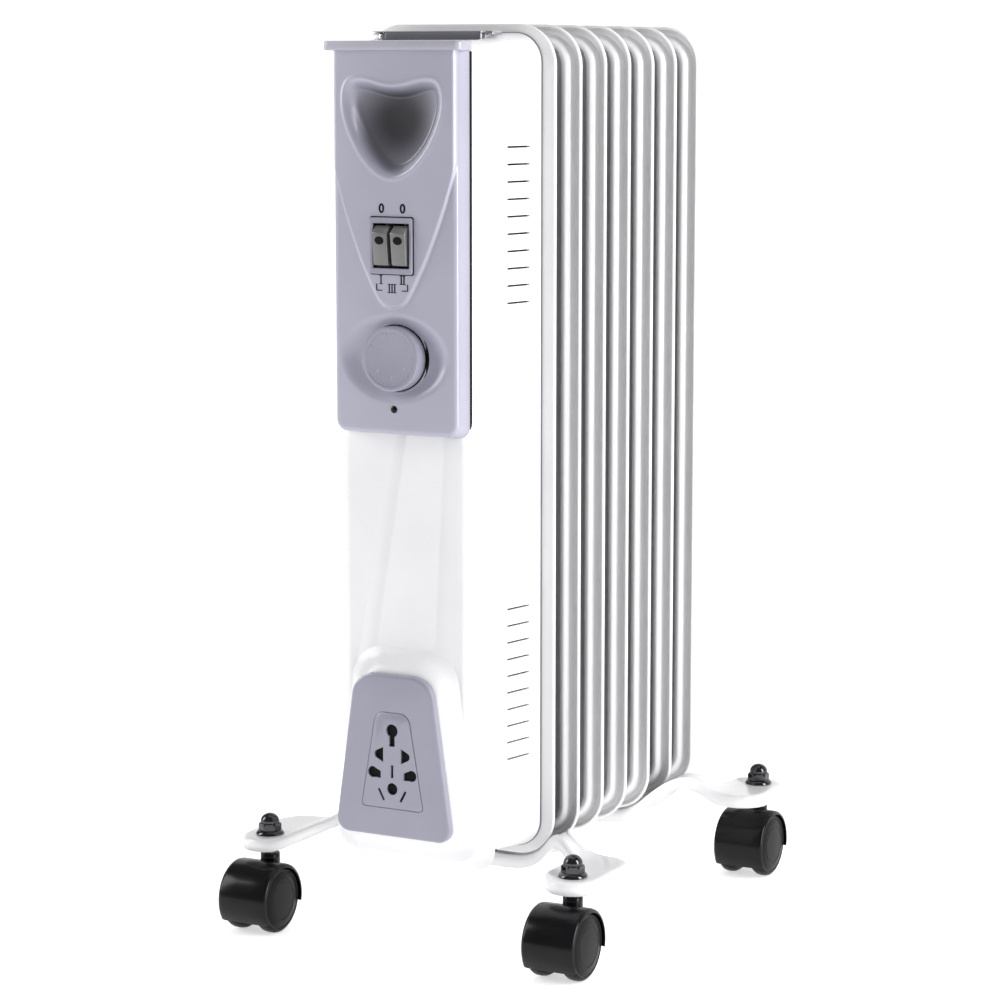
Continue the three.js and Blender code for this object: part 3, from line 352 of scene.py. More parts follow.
FIN_COUNT = 7
PITCH = (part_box("fin_3")[0].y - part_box("fin_2")[0].y) / MM
FIN_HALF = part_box("fin_1")[1].x / MM
CORNER_R = 28.0
SHEET = 1.2
LIP = 6.0
BULGE = 7.4
SWELL_INSET, SWELL_WIDTH = 6.6, 11.0
WEB_INSET = 22.0
# how far in from the fin's edge the painted shade begins
PAINTED_SHADE_INSET = 17.0
HEADER_Z = (FIN_LOW + 52, FIN_HIGH - 52)
HEADER_R = 20.0
FLARE_R = 31.0
HEADER_GAP = 0.15


def fin_profile(number):
    """(inset from the edge, distance from the fin's middle plane), from the front web to the rear web.

    The first fin has a flat face for the cover in place of its front swell."""
    swell = [(SWELL_INSET + SWELL_WIDTH * t, SHEET + (BULGE - SHEET) * math.sin(math.pi * t) ** 0.85)
             for t in np.linspace(0, 1, 15)]
    front = [(WEB_INSET, -SHEET)]
    if number == 1:
        front += [(13.0, -SHEET), (12.2, -5.0), (11.6, -5.75), (10.8, -5.9), (2.0, -5.9)]
    else:
        front += [(inset, -y) for inset, y in reversed(swell)]
        front += [(5.0, -SHEET), (3.4, -1.3), (2.6, -1.9), (2.3, -3.0), (2.2, -5.2), (1.7, -5.9)]
    lip = [(1.0, -LIP), (0.4, -5.8), (0.0, -5.2), (0.0, -3.4), (0.4, -2.8), (1.2, -2.5), (1.7, -1.8),
           (2.0, 0.2), (2.6, 0.9), (4.0, SHEET)]
    return front + lip + swell + [(WEB_INSET, SHEET)]


def fin_ring(inset, y):
    """The fin's outline, inset all round, at distance y."""
    radius = max(CORNER_R - inset, 6)
    return upright(rect(FIN_HALF - inset, FIN_LOW + inset, FIN_HIGH - inset, radius, 10), y)


def header_profile(number):
    """(radius, distance from the fin's middle plane) of a header's tube, closed on the end fins."""
    reach = PITCH / 2 - HEADER_GAP
    flare = [(HEADER_R, -5), (HEADER_R + 2, -3.4), (FLARE_R - 3, -2.6), (FLARE_R, -SHEET)]
    ahead = [(0, -reach), (HEADER_R - 0.6, -reach), (HEADER_R, 0.6 - reach)] + flare
    behind = [(r, -y) for r, y in reversed(ahead)]
    if number == 1:
        ahead = [(0, -4.6), (FLARE_R - 3, -4.6), (FLARE_R, -SHEET)]
    if number == FIN_COUNT:
        behind = [(FLARE_R, SHEET), (FLARE_R - 3, 3.6), (FLARE_R - 5, 4.2), (0, 4.2)]
    return ahead + [(FLARE_R, 0)] + behind


def make_fin(number):
    """One pressed fin with its two header tubes and the upright channel between them."""
    mid = LIP + (number - 1) * PITCH
    parts = [loft([fin_ring(inset, mid + y) for inset, y in fin_profile(number)])]
    for z in HEADER_Z:
        profile = [(r, mid + y) for r, y in header_profile(number)]
        parts.append(turned(profile, (0, 0, z), "y", 40))
    ridge = []
    for y, inset in ((-4.4, 4), (-4.1, 2), (-2.4, 0.4), (-1.0, 0), (1.0, 0), (2.4, 0.4), (4.1, 2), (4.4, 4)):
        ridge.append(upright(rect(14 - inset, HEADER_Z[0], HEADER_Z[1], 9 - inset, 4), mid + y))
    parts.append(loft(ridge))
    pressing = make(f"fin_{number}_pressing", parts, WHITE_PAINT, 40)
    pressing.data.materials.append(FIN_PAINTED_SHADE)
    # inner faces take the grey painted shade; the last fin's rear faces stay white
    low, high = (FIN_LOW + PAINTED_SHADE_INSET) * MM, (FIN_HIGH - PAINTED_SHADE_INSET) * MM
    half = (FIN_HALF - PAINTED_SHADE_INSET) * MM
    for face in pressing.data.polygons:
        inside = abs(face.center.x) < half and low < face.center.z < high
        outward = number == FIN_COUNT and face.center.y > (mid + SHIFT) * MM
        face.material_index = 1 if inside and not outward else 0
    place(pressing, BODY, "white_paint", f"fin_{number}")


# ---- front cover ----

DEPTH = 76.0
REAR_HALF, FRONT_HALF = 65.0, 51.0
REAR_LOW, REAR_HIGH = FIN_LOW + 6, FIN_HIGH - 6
FRONT_LOW, FRONT_HIGH = FIN_LOW + 13.5, FIN_HIGH - 13.5
WALL = 2.2
EDGE = 7.0
HANDLE_Y = -31.0
TUB_LOW = FIN_HIGH - 34.2
SLOT_TOPS = (FIN_LOW + 497.5, FIN_LOW + 181.5)
SLOT_COUNT, SLOT_STEP = 10, 11.7
SLOT_FRONT, SLOT_REAR, SLOT_HALF = -37.0, -13.0, 0.65
# the socket's raised housing: half-widths at the bottom and top, then heights above the fins' bottom
BUMP_REAR_SIZE, BUMP_FRONT_SIZE = (53.5, 37.0, 14.5, 153.0), (47.6, 30.0, 24.5, 142.5)
BUMP_FRONT = -89.0


def cover_section(y, inset):
    """The tapering cover's outline at distance y, inset all round."""
    t = -y / DEPTH
    half = REAR_HALF + (FRONT_HALF - REAR_HALF) * t - inset
    low = REAR_LOW + (FRONT_LOW - REAR_LOW) * t + inset
    high = REAR_HIGH + (FRONT_HIGH - REAR_HIGH) * t - inset
    return upright(rect(half, low, high, max(20 - 5 * t - inset, 4), 8), y)


def cover_loft(inset, rear):
    """The cover's closed shape from rear to its rounded front edge, inset all round."""
    edge = EDGE - inset
    front = -DEPTH + inset
    rings = [cover_section(y, inset) for y in (rear, -18, -36, -54, front + edge)]
    for degrees in (15, 30, 45, 60, 75, 90):
        a = math.radians(degrees)
        rings.append(cover_section(front + edge * (1 - math.sin(a)), inset + edge * (1 - math.cos(a))))
    return loft(rings)


def bump_section(y, grow=0.0):
    """The socket's raised housing at distance y, larger by grow all round."""
    t = (y + DEPTH) / (BUMP_FRONT + DEPTH)
    bottom, top, low, high = (a + (b - a) * t for a, b in zip(BUMP_REAR_SIZE, BUMP_FRONT_SIZE))
    outline = trapezoid(bottom + grow, top + grow, FIN_LOW + low - grow, FIN_LOW + high + grow,
                        (16, 24, 24, 16), 9)
    return upright(outline, y)


def bump_loft():
    """The housing's closed shape, flared where it leaves the cover and rounded at its front edge."""
    sections = ((-58, 0), (-70, 0), (-74.5, 3.5), (-76.2, 2.6), (-77.4, 1.3), (-79, 0.4), (-81, 0),
                (BUMP_FRONT + 3.5, 0), (BUMP_FRONT + 1.3, -0.9), (BUMP_FRONT, -2.6))
    return loft([bump_section(y, grow) for y, grow in sections])


def pocket_loft(grow, low, high, radius):
    """The handle pocket's rounded block between two heights, larger by grow all round."""
    outline = rect(42 + grow, -52 - grow, -10 + grow, radius)
    return loft([flat(outline, low), flat(outline, high)])


def make_cover():
    """The white housing: shell, socket bump, handle pocket, vent slots, and the dark seam behind it."""
    cover = make("cover_shell", [cover_loft(0, -0.3)], WHITE_PLASTIC)
    boolean(cover, [bump_loft()], "UNION")
    boolean(cover, [cover_loft(WALL, 4)], "DIFFERENCE")
    boolean(cover, [pocket_loft(WALL, TUB_LOW, FIN_HIGH - 18, 6)], "UNION")
    boolean(cover, [pocket_loft(0, TUB_LOW + WALL, FIN_HIGH + 4, 5)], "DIFFERENCE")
    slots = []
    for top in SLOT_TOPS:
        for i in range(SLOT_COUNT):
            low, high = top - SLOT_STEP * i - SLOT_HALF, top - SLOT_STEP * i + SLOT_HALF
            outline = rounded(((SLOT_FRONT, low), (SLOT_FRONT, high), (SLOT_REAR, high), (SLOT_REAR, low)),
                              (0.6,) * 4, 3)
            slots.append(loft([across(outline, x) for x in (-80, 80)]))
    boolean(cover, slots, "DIFFERENCE")
    place(cover, BODY, "white_plastic", "front_cover")
    seam = [cover_section(y, inset)
            for y, inset in ((-0.9, 1.4), (-0.9, -0.35), (-0.05, -0.35), (-0.05, 1.4))]
    place(make("cover_seam", [loft(seam, closed=True)], GRIP), BODY, "black_plastic")


# ---- control panel ----

PANEL_LOW, PANEL_HIGH = FIN_LOW + 305, FIN_LOW + 562
PANEL_HALF, PANEL_REAR_HALF = 48.0, 51.0
PANEL_FRONT, PANEL_REAR = -90.0, -76.3
PANEL_CORNER, PANEL_EDGE = 8.0, 3.6
PANEL_WALL = 1.2
CROWN = 2.2
SHIELD_RISE = 1.8
SHIELD_FRONT = PANEL_FRONT - SHIELD_RISE
KNOB_R = 22.0
KNOB_Z = FIN_LOW + 356.5
KNOB_BOWL_X, KNOB_BOWL_Z, KNOB_BOWL_DEPTH = 43.5, 31.0, 4.6
SWITCH_Z = FIN_LOW + 432.4
SWITCH_HALF_X, SWITCH_HALF_Z = 15.2, 17.2
LENS_Z = FIN_LOW + 322.0
DISH_Z, DISH_DEPTH = FIN_LOW + 517, 13.0
DISH_TOP, DISH_TIP, DISH_HALF = FIN_LOW + 543.5, FIN_LOW + 477.5, 38.2
# height above the fins' bottom and half-width of the raised shield there
SHIELD = ((386, -20), (390.6, -1), (390.9, 2.5), (391.6, 5.5), (393.2, 8.4), (396, 11.0), (400, 13.6),
          (407, 17.4), (424, 25.8), (444, 33.8), (460, 39.6), (477, 44.8), (497, 50.0), (503, 54.0),
          (520, 80.0), (600, 90.0))


def bezier(points, steps):
    """Points along a cubic curve, without its last one."""
    p = [np.array(q, float) for q in points]
    t = np.linspace(0, 1, steps, endpoint=False)[:, None]
    return (1 - t) ** 3 * p[0] + 3 * (1 - t) ** 2 * t * p[1] + 3 * (1 - t) * t * t * p[2] + t ** 3 * p[3]


def dish_outline():
    """The finger dish's shield-like outline, from its tip up the right side and down the left."""
    top, tip, half = DISH_TOP, DISH_TIP, DISH_HALF
    wide = top - 15
    right = [
        bezier(((0, tip), (0.5 * half, tip), (half, tip + 33), (half, wide)), 24),
        bezier(((half, wide), (half, top - 4), (0.9 * half, top), (0.72 * half, top)), 10),
        bezier(((0.72 * half, top), (0.42 * half, top), (0.3 * half, top - 4.5), (0, top - 4.5)), 10),
    ]
    right = np.concatenate(right + [np.array([[0, top - 4.5]])])
    left = right[::-1][1:-1] * np.array([-1, 1])
    return np.concatenate([right, left])


def inside_distance(x, z, outline):
    """Distance to a closed outline, positive inside it."""
    a, b = outline, np.roll(outline, -1, 0)
    best = np.full(x.shape, 1e9)
    odd = np.zeros(x.shape, bool)
    for (ax, az), (bx, bz) in zip(a, b):
        dx, dz = bx - ax, bz - az
        t = np.clip(((x - ax) * dx + (z - az) * dz) / (dx * dx + dz * dz), 0, 1)
        best = np.minimum(best, np.hypot(x - ax - t * dx, z - az - t * dz))
        crosses = (az > z) != (bz > z)
        odd ^= crosses & (x < ax + (z - az) * dx / (dz if dz else 1e-9))
    return np.where(odd, best, -best)


def panel_height(x, z):
    """The distance y of the panel's face at (x, z), with its edge, shield, finger dish and dial bowl."""
    qx, qz = np.abs(x) - (PANEL_HALF - PANEL_CORNER), PANEL_LOW + PANEL_CORNER - z
    outside = np.hypot(np.maximum(qx, 0), np.maximum(qz, 0))
    border = PANEL_CORNER - outside - np.minimum(np.maximum(qx, qz), 0)
    near = PANEL_EDGE - np.clip(border, 0, PANEL_EDGE)
    y = PANEL_FRONT + PANEL_EDGE - np.sqrt(np.maximum(PANEL_EDGE ** 2 - near * near, 0))
    y = y + CROWN * (x / PANEL_HALF) ** 2
    heights = np.array([h for h, _ in SHIELD]) + FIN_LOW
    widths = np.array([w for _, w in SHIELD], float)
    wide = np.interp(z, heights, widths)
    slope = (np.interp(z + 1, heights, widths) - np.interp(z - 1, heights, widths)) / 2
    within = (wide - np.abs(x)) / np.sqrt(1 + slope ** 2)
    step = smoothstep((within + 0.8) / 1.6) * smoothstep(border / 2.5)
    y = y - SHIELD_RISE * step
    deep = inside_distance(x, z, dish_outline())
    bowl = np.sqrt(np.maximum(0, 1 - (x / 42) ** 2 - ((z - DISH_Z) / 52) ** 2))
    y = y + DISH_DEPTH * bowl * smoothstep(deep / 9) - 0.3 * np.exp(-((deep + 0.6) / 1.3) ** 2)
    oval = np.hypot(x / KNOB_BOWL_X, (z - KNOB_Z) / KNOB_BOWL_Z)
    return y + KNOB_BOWL_DEPTH * smoothstep((1.0 - oval) / 0.40)


def crowded(count, share):
    """Numbers from -1 to 1 that lie closer together towards both ends."""
    quarter_turn = math.pi / 2 * share
    return np.sin(np.linspace(-1, 1, count) * quarter_turn) / math.sin(quarter_turn)


def panel_face(columns, rows):
    """The panel's face as a grid of points, with openings for the switches and the dial's shaft."""
    z_line = PANEL_LOW + (PANEL_HIGH - PANEL_LOW) * (0.5 + 0.5 * crowded(rows, 0.8))
    low_gap = np.clip(PANEL_CORNER - (z_line - PANEL_LOW), 0, PANEL_CORNER)
    cut_in = PANEL_CORNER - np.sqrt(np.maximum(PANEL_CORNER ** 2 - low_gap ** 2, 0))
    x = crowded(columns, 0.82)[None, :] * (PANEL_HALF - cut_in)[:, None]
    z = np.repeat(z_line[:, None], columns, 1)
    points = np.stack([x, panel_height(x, z), z], 2).reshape(-1, 3)
    faces = []
    for face in grid_faces(rows, columns):
        cx, _, cz = points[list(face)].mean(0)
        in_switch = abs(cx) < SWITCH_HALF_X and abs(cz - SWITCH_Z) < SWITCH_HALF_Z
        in_shaft = math.hypot(cx, cz - KNOB_Z) < KNOB_R + 0.9
        if not (in_switch or in_shaft):
            faces.append(face)
    return points, faces


def make_panel():
    """The control panel's moulding: the face and the three bands of its sides, made a thin wall."""
    columns, rows = 150, 380
    points, faces = panel_face(columns, rows)
    border = list(range(columns))
    border += [row * columns + columns - 1 for row in range(1, rows)]
    border += [(rows - 1) * columns + column for column in range(columns - 2, -1, -1)]
    border += [row * columns for row in range(rows - 2, 0, -1)]
    rim = points[border]
    mid = (PANEL_LOW + PANEL_HIGH) / 2
    base = len(points)
    layers = [points]
    previous = border
    for t in (0.08, 0.5, 1.0):
        ring = rim.copy()
        ring[:, 0] *= 1 + (PANEL_REAR_HALF / PANEL_HALF - 1) * t
        ring[:, 2] = mid + (ring[:, 2] - mid) * (1 + 0.012 * t)
        ring[:, 2] = np.minimum(ring[:, 2], PANEL_HIGH)
        ring[:, 1] = rim[:, 1] + (PANEL_REAR - rim[:, 1]) * t
        layers.append(ring)
        current = list(range(base, base + len(ring)))
        base += len(ring)
        n = len(ring)
        faces += [(previous[i], previous[(i + 1) % n], current[(i + 1) % n], current[i]) for i in range(n)]
        previous = current
    panel = make("panel_moulding", [(np.concatenate(layers), faces)], PANEL, 50)
    wall = panel.modifiers.new("wall", "SOLIDIFY")
    wall.thickness = PANEL_WALL * MM
    wall.offset = -1
    place(panel, BODY, "panel_grey", "control_panel")


def make_well():
    """The well round the dial, which closes the opening it turns in; it is black as painted shadow in the gap
    round the dial.
    """
    lip, floor = PANEL_FRONT + 4.45, PANEL_FRONT + 9.0
    profile = [(3.4, floor), (KNOB_R + 2.6, floor), (KNOB_R + 2.6, lip + 0.5), (KNOB_R + 0.8, lip + 0.5),
               (KNOB_R + 0.8, floor - 1.2), (3.4, floor - 1.2), (3.4, floor)]
    place(make("dial_well", [turned(profile, (0, 0, KNOB_Z), "y", 96)], INK_AND_SHADE), BODY, "black_plastic")
    angles = np.linspace(0, 2 * math.pi, 96, endpoint=False)
    rings = []
    for r, sink in ((KNOB_R + 0.75, 2.4), (KNOB_R + 0.75, 0.1), (KNOB_R + 0.9, -0.12), (KNOB_R + 1.9, -0.12),
                    (KNOB_R + 2.6, 0.25), (KNOB_R + 2.6, 2.4)):
        x, z = r * np.cos(angles), KNOB_Z + r * np.sin(angles)
        rings.append(np.stack([x, panel_height(x, z) + sink, z], 1))
    place(make("dial_rim", [loft(rings, closed=True)], PANEL), BODY, "panel_grey")


def make_shadow_strip():
    """A black strip of painted shadow in the valley between the panel's rear edge and the cover."""
    rings = [upright(rect(half, PANEL_LOW + 1, PANEL_HIGH - 0.5, (8, 1, 1, 8)), PANEL_REAR + back)
             for back, half in ((0, 47.0), (0, 50.6), (3, 51.2), (3, 47.0))]
    place(make("panel_shadow_strip", [loft(rings, closed=True)], INK_AND_SHADE), BODY, "black_plastic")


def make_lid():
    """The flat lid that lies along the panel's top edge."""
    low = PANEL_HIGH + 0.03
    rings = []
    for z, inset in ((low, 0.5), (low + 0.2, 0.15), (low + 0.6, 0), (low + 5.4, 0), (low + 6, 0.3),
                     (low + 6.27, 0.9)):
        half, front, rear = 53 - inset, inset - 93.5, PANEL_REAR - inset * 0.2
        outline = rounded(((half, front), (half, rear), (-half, rear), (-half, front)), (4.5, 0.8, 0.8, 4.5))
        rings.append(flat(outline, z))
    place(make("lid_moulding", [loft(rings)], PEARL_LIGHT), BODY, "panel_grey", "panel_lid")


# ---- dial, lens, lettering ----

DIAL_FACE, DIAL_BACK = -95.6, -85.6
DIAL_MARKS, DIAL_NUMBERS = 31, 6
NUMBER_R = 12.6


def lettering(name, text, size, x, z, y, finish, body, slot, turn=0.0, depth=0.12, bold=0.22):
    """A raised character at (x, z) on the face at distance y, turned about its own middle."""
    data = bpy.data.curves.new(name, "FONT")
    data.body = text
    data.size = size * MM
    data.extrude = depth * MM
    data.offset = bold * MM
    data.align_x = "CENTER"
    data.align_y = "CENTER"
    data.materials.append(finish)
    made = shown(name, data)
    made.matrix_world = (Matrix.Translation((x * MM, (y + SHIFT) * MM, z * MM))
                         @ Matrix.Rotation(turn, 4, "Y") @ Matrix.Rotation(math.pi / 2, 4, "X"))
    return place(made, body, slot)


def make_dial():
    """The thermostat's ribbed dial with its raised marks and numbers."""
    face = DIAL_FACE
    profile = [(0, DIAL_BACK), (KNOB_R, DIAL_BACK), (KNOB_R, face + 1.6), (KNOB_R - 0.3, face + 0.6),
               (KNOB_R - 1.0, face + 0.05), (KNOB_R - 2.0, face), (KNOB_R - 2.8, face + 0.1),
               (KNOB_R - 3.1, face + 0.5), (KNOB_R - 3.8, face + 0.6), (0, face + 0.6)]
    dial = make("dial_moulding", [turned(profile, (0, 0, KNOB_Z), "y", 336, 0.06, 84)], PEARL, 28)
    place(dial, "thermostat_dial", "panel_grey", "thermostat_knob")
    marks = []
    for k in range(DIAL_MARKS):
        a = math.radians(-60 + 300 * k / (DIAL_MARKS - 1))
        long = k % 5 == 0
        middle = 17.0 if long else 17.5
        centre = (middle * math.sin(a), face + 0.55, KNOB_Z + middle * math.cos(a))
        points, faces = bar((0, 0, 0), (0.35, 0.5, 2.2 if long else 1.2), 0.1, 2, 0.08)
        turn = np.array(((math.cos(a), 0, math.sin(a)), (0, 1, 0), (-math.sin(a), 0, math.cos(a))))
        marks.append((points @ turn.T + np.array(centre), faces))
    place(make("dial_marks", marks, PEARL_LIGHT), "thermostat_dial", "panel_grey")
    for k in range(DIAL_NUMBERS):
        a = math.radians(-50 + 56 * k)
        x, z = NUMBER_R * math.sin(a), KNOB_Z + NUMBER_R * math.cos(a)
        lettering(f"dial_number_{k + 1}", str(k + 1), 4.2, x, z, face + 0.6, PEARL_LIGHT, "thermostat_dial",
                  "panel_grey", a, 0.15, 0.05)


def make_lens():
    """The indicator lamp's small domed lens under the dial."""
    back = -71.5
    dome = [(0, back), (2.5, back), (2.5, PANEL_FRONT - 0.1), (2.1, PANEL_FRONT - 0.6),
            (1.2, PANEL_FRONT - 0.95), (0, PANEL_FRONT - 1.05)]
    place(make("lens_dome", [turned(dome, (0, 0, LENS_Z), "y", 40)], BLACK), BODY, "lens", "indicator_lens")


def stroke(x, z, width, height):
    """A printed stroke on the shield, with z above the fins' bottom."""
    return bar((x, SHIELD_FRONT, FIN_LOW + z), (width, 0.3, height), 0.1, 2, 0.1)


def make_lettering():
    """The marks round the switches: two noughts, the numerals I to III and the brackets that join them."""
    for side, x in (("left", -8.0), ("right", 8.4)):
        lettering(f"mark_off_{side}", "0", 8.6, x, FIN_LOW + 457, SHIELD_FRONT, INK_AND_SHADE, BODY, "black_plastic")
    step = 2.1
    for count, x, z in ((1, -8.6, 409.6), (2, 8.2, 409.6), (3, 0.0, 403.8)):
        strokes = [stroke(x + (k - (count - 1) / 2) * step, z, 0.85, 5.4) for k in range(count)]
        strokes += [stroke(x, z + end, step * count + 0.5, 0.5) for end in (-2.8, 2.8)]
        place(make(f"mark_{count}", strokes, INK_AND_SHADE), BODY, "black_plastic")
    brackets = []
    for side in (-1, 1):
        brackets.append(stroke(side * 12.0, 404.6, 0.6, 4.4))
        brackets.append(stroke(side * 9.8, 402.4, 4.6, 0.6))
    place(make("mark_brackets", brackets, INK_AND_SHADE), BODY, "black_plastic")


# ---- switches ----

PIVOT_Y = -86.5
TILT = math.radians(6)


def switch_ring(half_x, half_z, radius, ahead):
    """A rounded rectangle round the switches' middle, ahead of the shield's face."""
    return upright(rect(half_x, SWITCH_Z - half_z, SWITCH_Z + half_z, radius, 3), SHIELD_FRONT - ahead)


def make_switches():
    """The frame round both switches, a black ring of painted shadow round it and the two rockers."""
    bezel = [switch_ring(16.3, 18.9, 1.4, 0.3), switch_ring(16.3, 18.9, 1.4, 1.4),
             switch_ring(15.9, 18.5, 1.2, 1.8), switch_ring(14.5, 15.5, 0.5, 1.8),
             switch_ring(14.0, 15.0, 0.4, 1.3), switch_ring(14.0, 15.0, 0.4, 0.3)]
    place(make("switch_bezel", [loft(bezel, closed=True)], PEARL), BODY, "insert_grey", "switch_frame")
    # painted shadow: a black ring that stands in for the shade in the groove round the frame
    shadow_ring = [switch_ring(17.0, 19.6, 1.6, 0.1), switch_ring(16.9, 19.5, 1.6, 0.28),
              switch_ring(SWITCH_HALF_X, SWITCH_HALF_Z, 0.6, 0.28),
              switch_ring(SWITCH_HALF_X, SWITCH_HALF_Z, 0.6, 0.1)]
    place(make("switch_shadow_ring", [loft(shadow_ring, closed=True)], INK_AND_SHADE), BODY, "black_plastic")
    for name in ("left", "right"):
        low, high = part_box(f"rocker_{name}")
        make_rocker(name, (low.x + high.x) / 2 / MM)


def tip(points):
    """Turns (depth, height) points about the rocker's pivot, upper end inwards."""
    out = []
    for depth, height in points:
        y = depth * math.cos(TILT) + height * math.sin(TILT)
        z = height * math.cos(TILT) - depth * math.sin(TILT)
        out.append((PIVOT_Y + y, SWITCH_Z + z))
    return np.array(out)


def make_rocker(name, x):
    """One rocker, from its profile of (depth, height) corners, and the dark oval on its face."""
    foot, crest = (6.7, -13.6), (11.6, 7.6)
    corners = ((-foot[0], foot[1]), (-crest[0], crest[1]), (-6.6, 12.9), (-2.0, 12.6), (3, 5), (3, -5),
               (-1.0, -14.7))
    rings = []
    for t, shrink in ((-5.7, 0.5), (-5.5, 0.15), (-5.1, 0), (5.1, 0), (5.5, 0.15), (5.7, 0.5)):
        scale = 1 - shrink / 13
        outline = tip([(d * scale, h * scale) for d, h in corners])
        rings.append(across(rounded(outline, (0.6, 1.2, 0.6, 0.6, 1, 1, 0.6), 3), x + t))
    piece = make(f"rocker_{name}_moulding", [loft(rings)], ROCKER, 25)
    place(piece, f"switch_rocker_{name}", "rocker_grey", f"rocker_{name}")
    slope = math.atan2(crest[0] - foot[0], crest[1] - foot[1])
    angles = np.linspace(0, 2 * math.pi, 32, endpoint=False)
    rings = []
    for grow, proud in ((1.0, -0.5), (1.0, 0.10), (0.92, 0.17), (0.6, 0.2), (0.2, 0.2)):
        u, v = 3.5 * grow * np.cos(angles), 2.8 * grow * np.sin(angles)
        height = 2.6 + v * math.cos(slope)
        depth = -(foot[0] + (height - foot[1]) * math.tan(slope)) - proud
        placed = tip(list(zip(depth, height)))
        rings.append(np.stack([x + u, placed[:, 0], placed[:, 1]], 1))
    dot = make(f"rocker_{name}_mark", [loft(rings)], INK_AND_SHADE)
    place(dot, f"switch_rocker_{name}", "black_plastic")


# ---- mains socket ----

PLATE_FRONT, PLATE_REAR = -95.0, -89.3
INSERT_REAR = PLATE_FRONT + 1.7


def plate_ring(inset, y):
    """The socket plate's outline at distance y, inset all round."""
    return upright(trapezoid(46 - inset, 30 - inset, FIN_LOW + 27 + inset, FIN_LOW + 140 - inset,
                             (9, 17, 17, 9), 9), y)


def window_ring(grow, y):
    """The window in the plate that holds the insert, larger by grow all round."""
    return upright(trapezoid(24.5 + grow, 13 + grow, FIN_LOW + 47 - grow, FIN_LOW + 114 + grow,
                             (3, 8, 8, 3), 9), y)


def through(points, side=1):
    """A cutter through the insert from (x, height above the fins' bottom) points, mirrored by side."""
    outline = np.array([(side * x, FIN_LOW + z) for x, z in points], float)
    return loft([upright(outline, PLATE_FRONT - 2), upright(outline, INSERT_REAR + 2)])


def disc(x, z, radius, start, end):
    """Points on an arc between two angles in degrees."""
    angles = np.radians(np.linspace(start, end, 22))
    return [(x + radius * math.cos(a), z + radius * math.sin(a)) for a in angles]


def contact_holes():
    """The cutters for the pin holes: one at the top, three to each side, then the middle and lower ones."""
    tools = [through(disc(0, 101.5, 4.6, -62, 242) + [(-2.2, 90.5), (2.2, 90.5)])]
    a = math.radians(28)
    blade = [(-0.9, -4.4), (0.9, -4.4), (0.9, 4.4), (-0.9, 4.4)]
    slanted = [(8.6 + x * math.cos(a) + z * math.sin(a), 56.3 - x * math.sin(a) + z * math.cos(a))
               for x, z in blade]
    for side in (-1, 1):
        tools.append(through(disc(11.0, 84.3, 3.0, -62, 62) + [(7.0, 89.6), (7.0, 79.0)], side))
        tools.append(through(disc(15.4, 71.4, 3.9, -112, 132) + [(9.0, 72.6), (9.0, 67.6)], side))
        tools.append(through(slanted, side))
    tools.append(through([(-1, 68.5), (1, 68.5), (1, 77.5), (-1, 77.5)]))
    tools.append(through(disc(0, 60.8, 4.2, 0, 343)))
    return tools


def make_socket():
    """The mains socket: the plate, the insert with its pin holes and a black sheet of painted shade behind
    them.
    """
    plate = [plate_ring(0, PLATE_REAR), plate_ring(0, PLATE_FRONT + 1.6), plate_ring(0.3, PLATE_FRONT + 0.7),
             plate_ring(1.0, PLATE_FRONT + 0.15), plate_ring(2.0, PLATE_FRONT), window_ring(0.5, PLATE_FRONT),
             window_ring(0.05, PLATE_FRONT + 0.5), window_ring(0.0, PLATE_REAR)]
    place(make("socket_surround", [loft(plate, closed=True)], PEARL), BODY, "panel_grey", "socket_plate")
    face = [window_ring(-0.1, INSERT_REAR), window_ring(-0.1, PLATE_FRONT + 0.3),
            window_ring(-0.6, PLATE_FRONT - 0.1)]
    insert = make("socket_face", [loft(face)], PEARL)
    boolean(insert, contact_holes(), "DIFFERENCE")
    place(insert, BODY, "insert_grey", "socket_insert")
    # painted shade: a black sheet behind the pin holes, so that they read dark
    shade_sheet = [window_ring(-0.2, INSERT_REAR), window_ring(-0.2, INSERT_REAR + 1.0)]
    place(make("socket_shade_sheet", [loft(shade_sheet)], INK_AND_SHADE), BODY, "black_plastic")


# ---- handle ----

GRIP_END, GRIP_HALF = 37.5, 7.0
GRIP_LOW, GRIP_HIGH = FIN_HIGH - 17, FIN_HIGH - 5


def make_handle():
    """The grip with its rounded ends, on a steel bar held by two bent brackets."""
    rings = []
    for x in np.concatenate([[-GRIP_END, -37.2, -36.4], np.linspace(-35, 35, 13), [36.4, 37.2, GRIP_END]]):
        end = min(1.0, (GRIP_END - abs(x)) / 1.1)
        shrink = 0.9 * (1 - math.sqrt(max(0.0, 1 - (1 - end) ** 2)))
        front, rear = HANDLE_Y - GRIP_HALF + shrink, HANDLE_Y + GRIP_HALF - shrink
        low, high = GRIP_LOW + shrink, GRIP_HIGH - shrink
        outline = rounded(((front, low), (rear, low), (rear, high), (front, high)), (4.5, 4.5, 2.5, 2.5), 5)
        rings.append(across(outline, x))
    place(make("grip_moulding", [loft(rings)], GRIP, 40), BODY, "grip_grey", "handle_grip")
    parts = [turned([(0, -38.4), (3, -38.4), (3, 38.4), (0, 38.4)], (0, HANDLE_Y, GRIP_HIGH - 6), "x", 24)]
    for side in (-1, 1):
        parts.append(bar((side * 39.7, HANDLE_Y, GRIP_HIGH - 5.4), (3.8, 13, 10.8), 1.0, 3, 0.5))
        parts.append(bar((side * 42.6, HANDLE_Y, GRIP_HIGH - 1.3), (9.6, 13, 2.6), 0.8, 3, 0.5))
    place(make("handle_brackets", parts, STEEL), BODY, "steel", "handle_bar")


# ---- feet ----

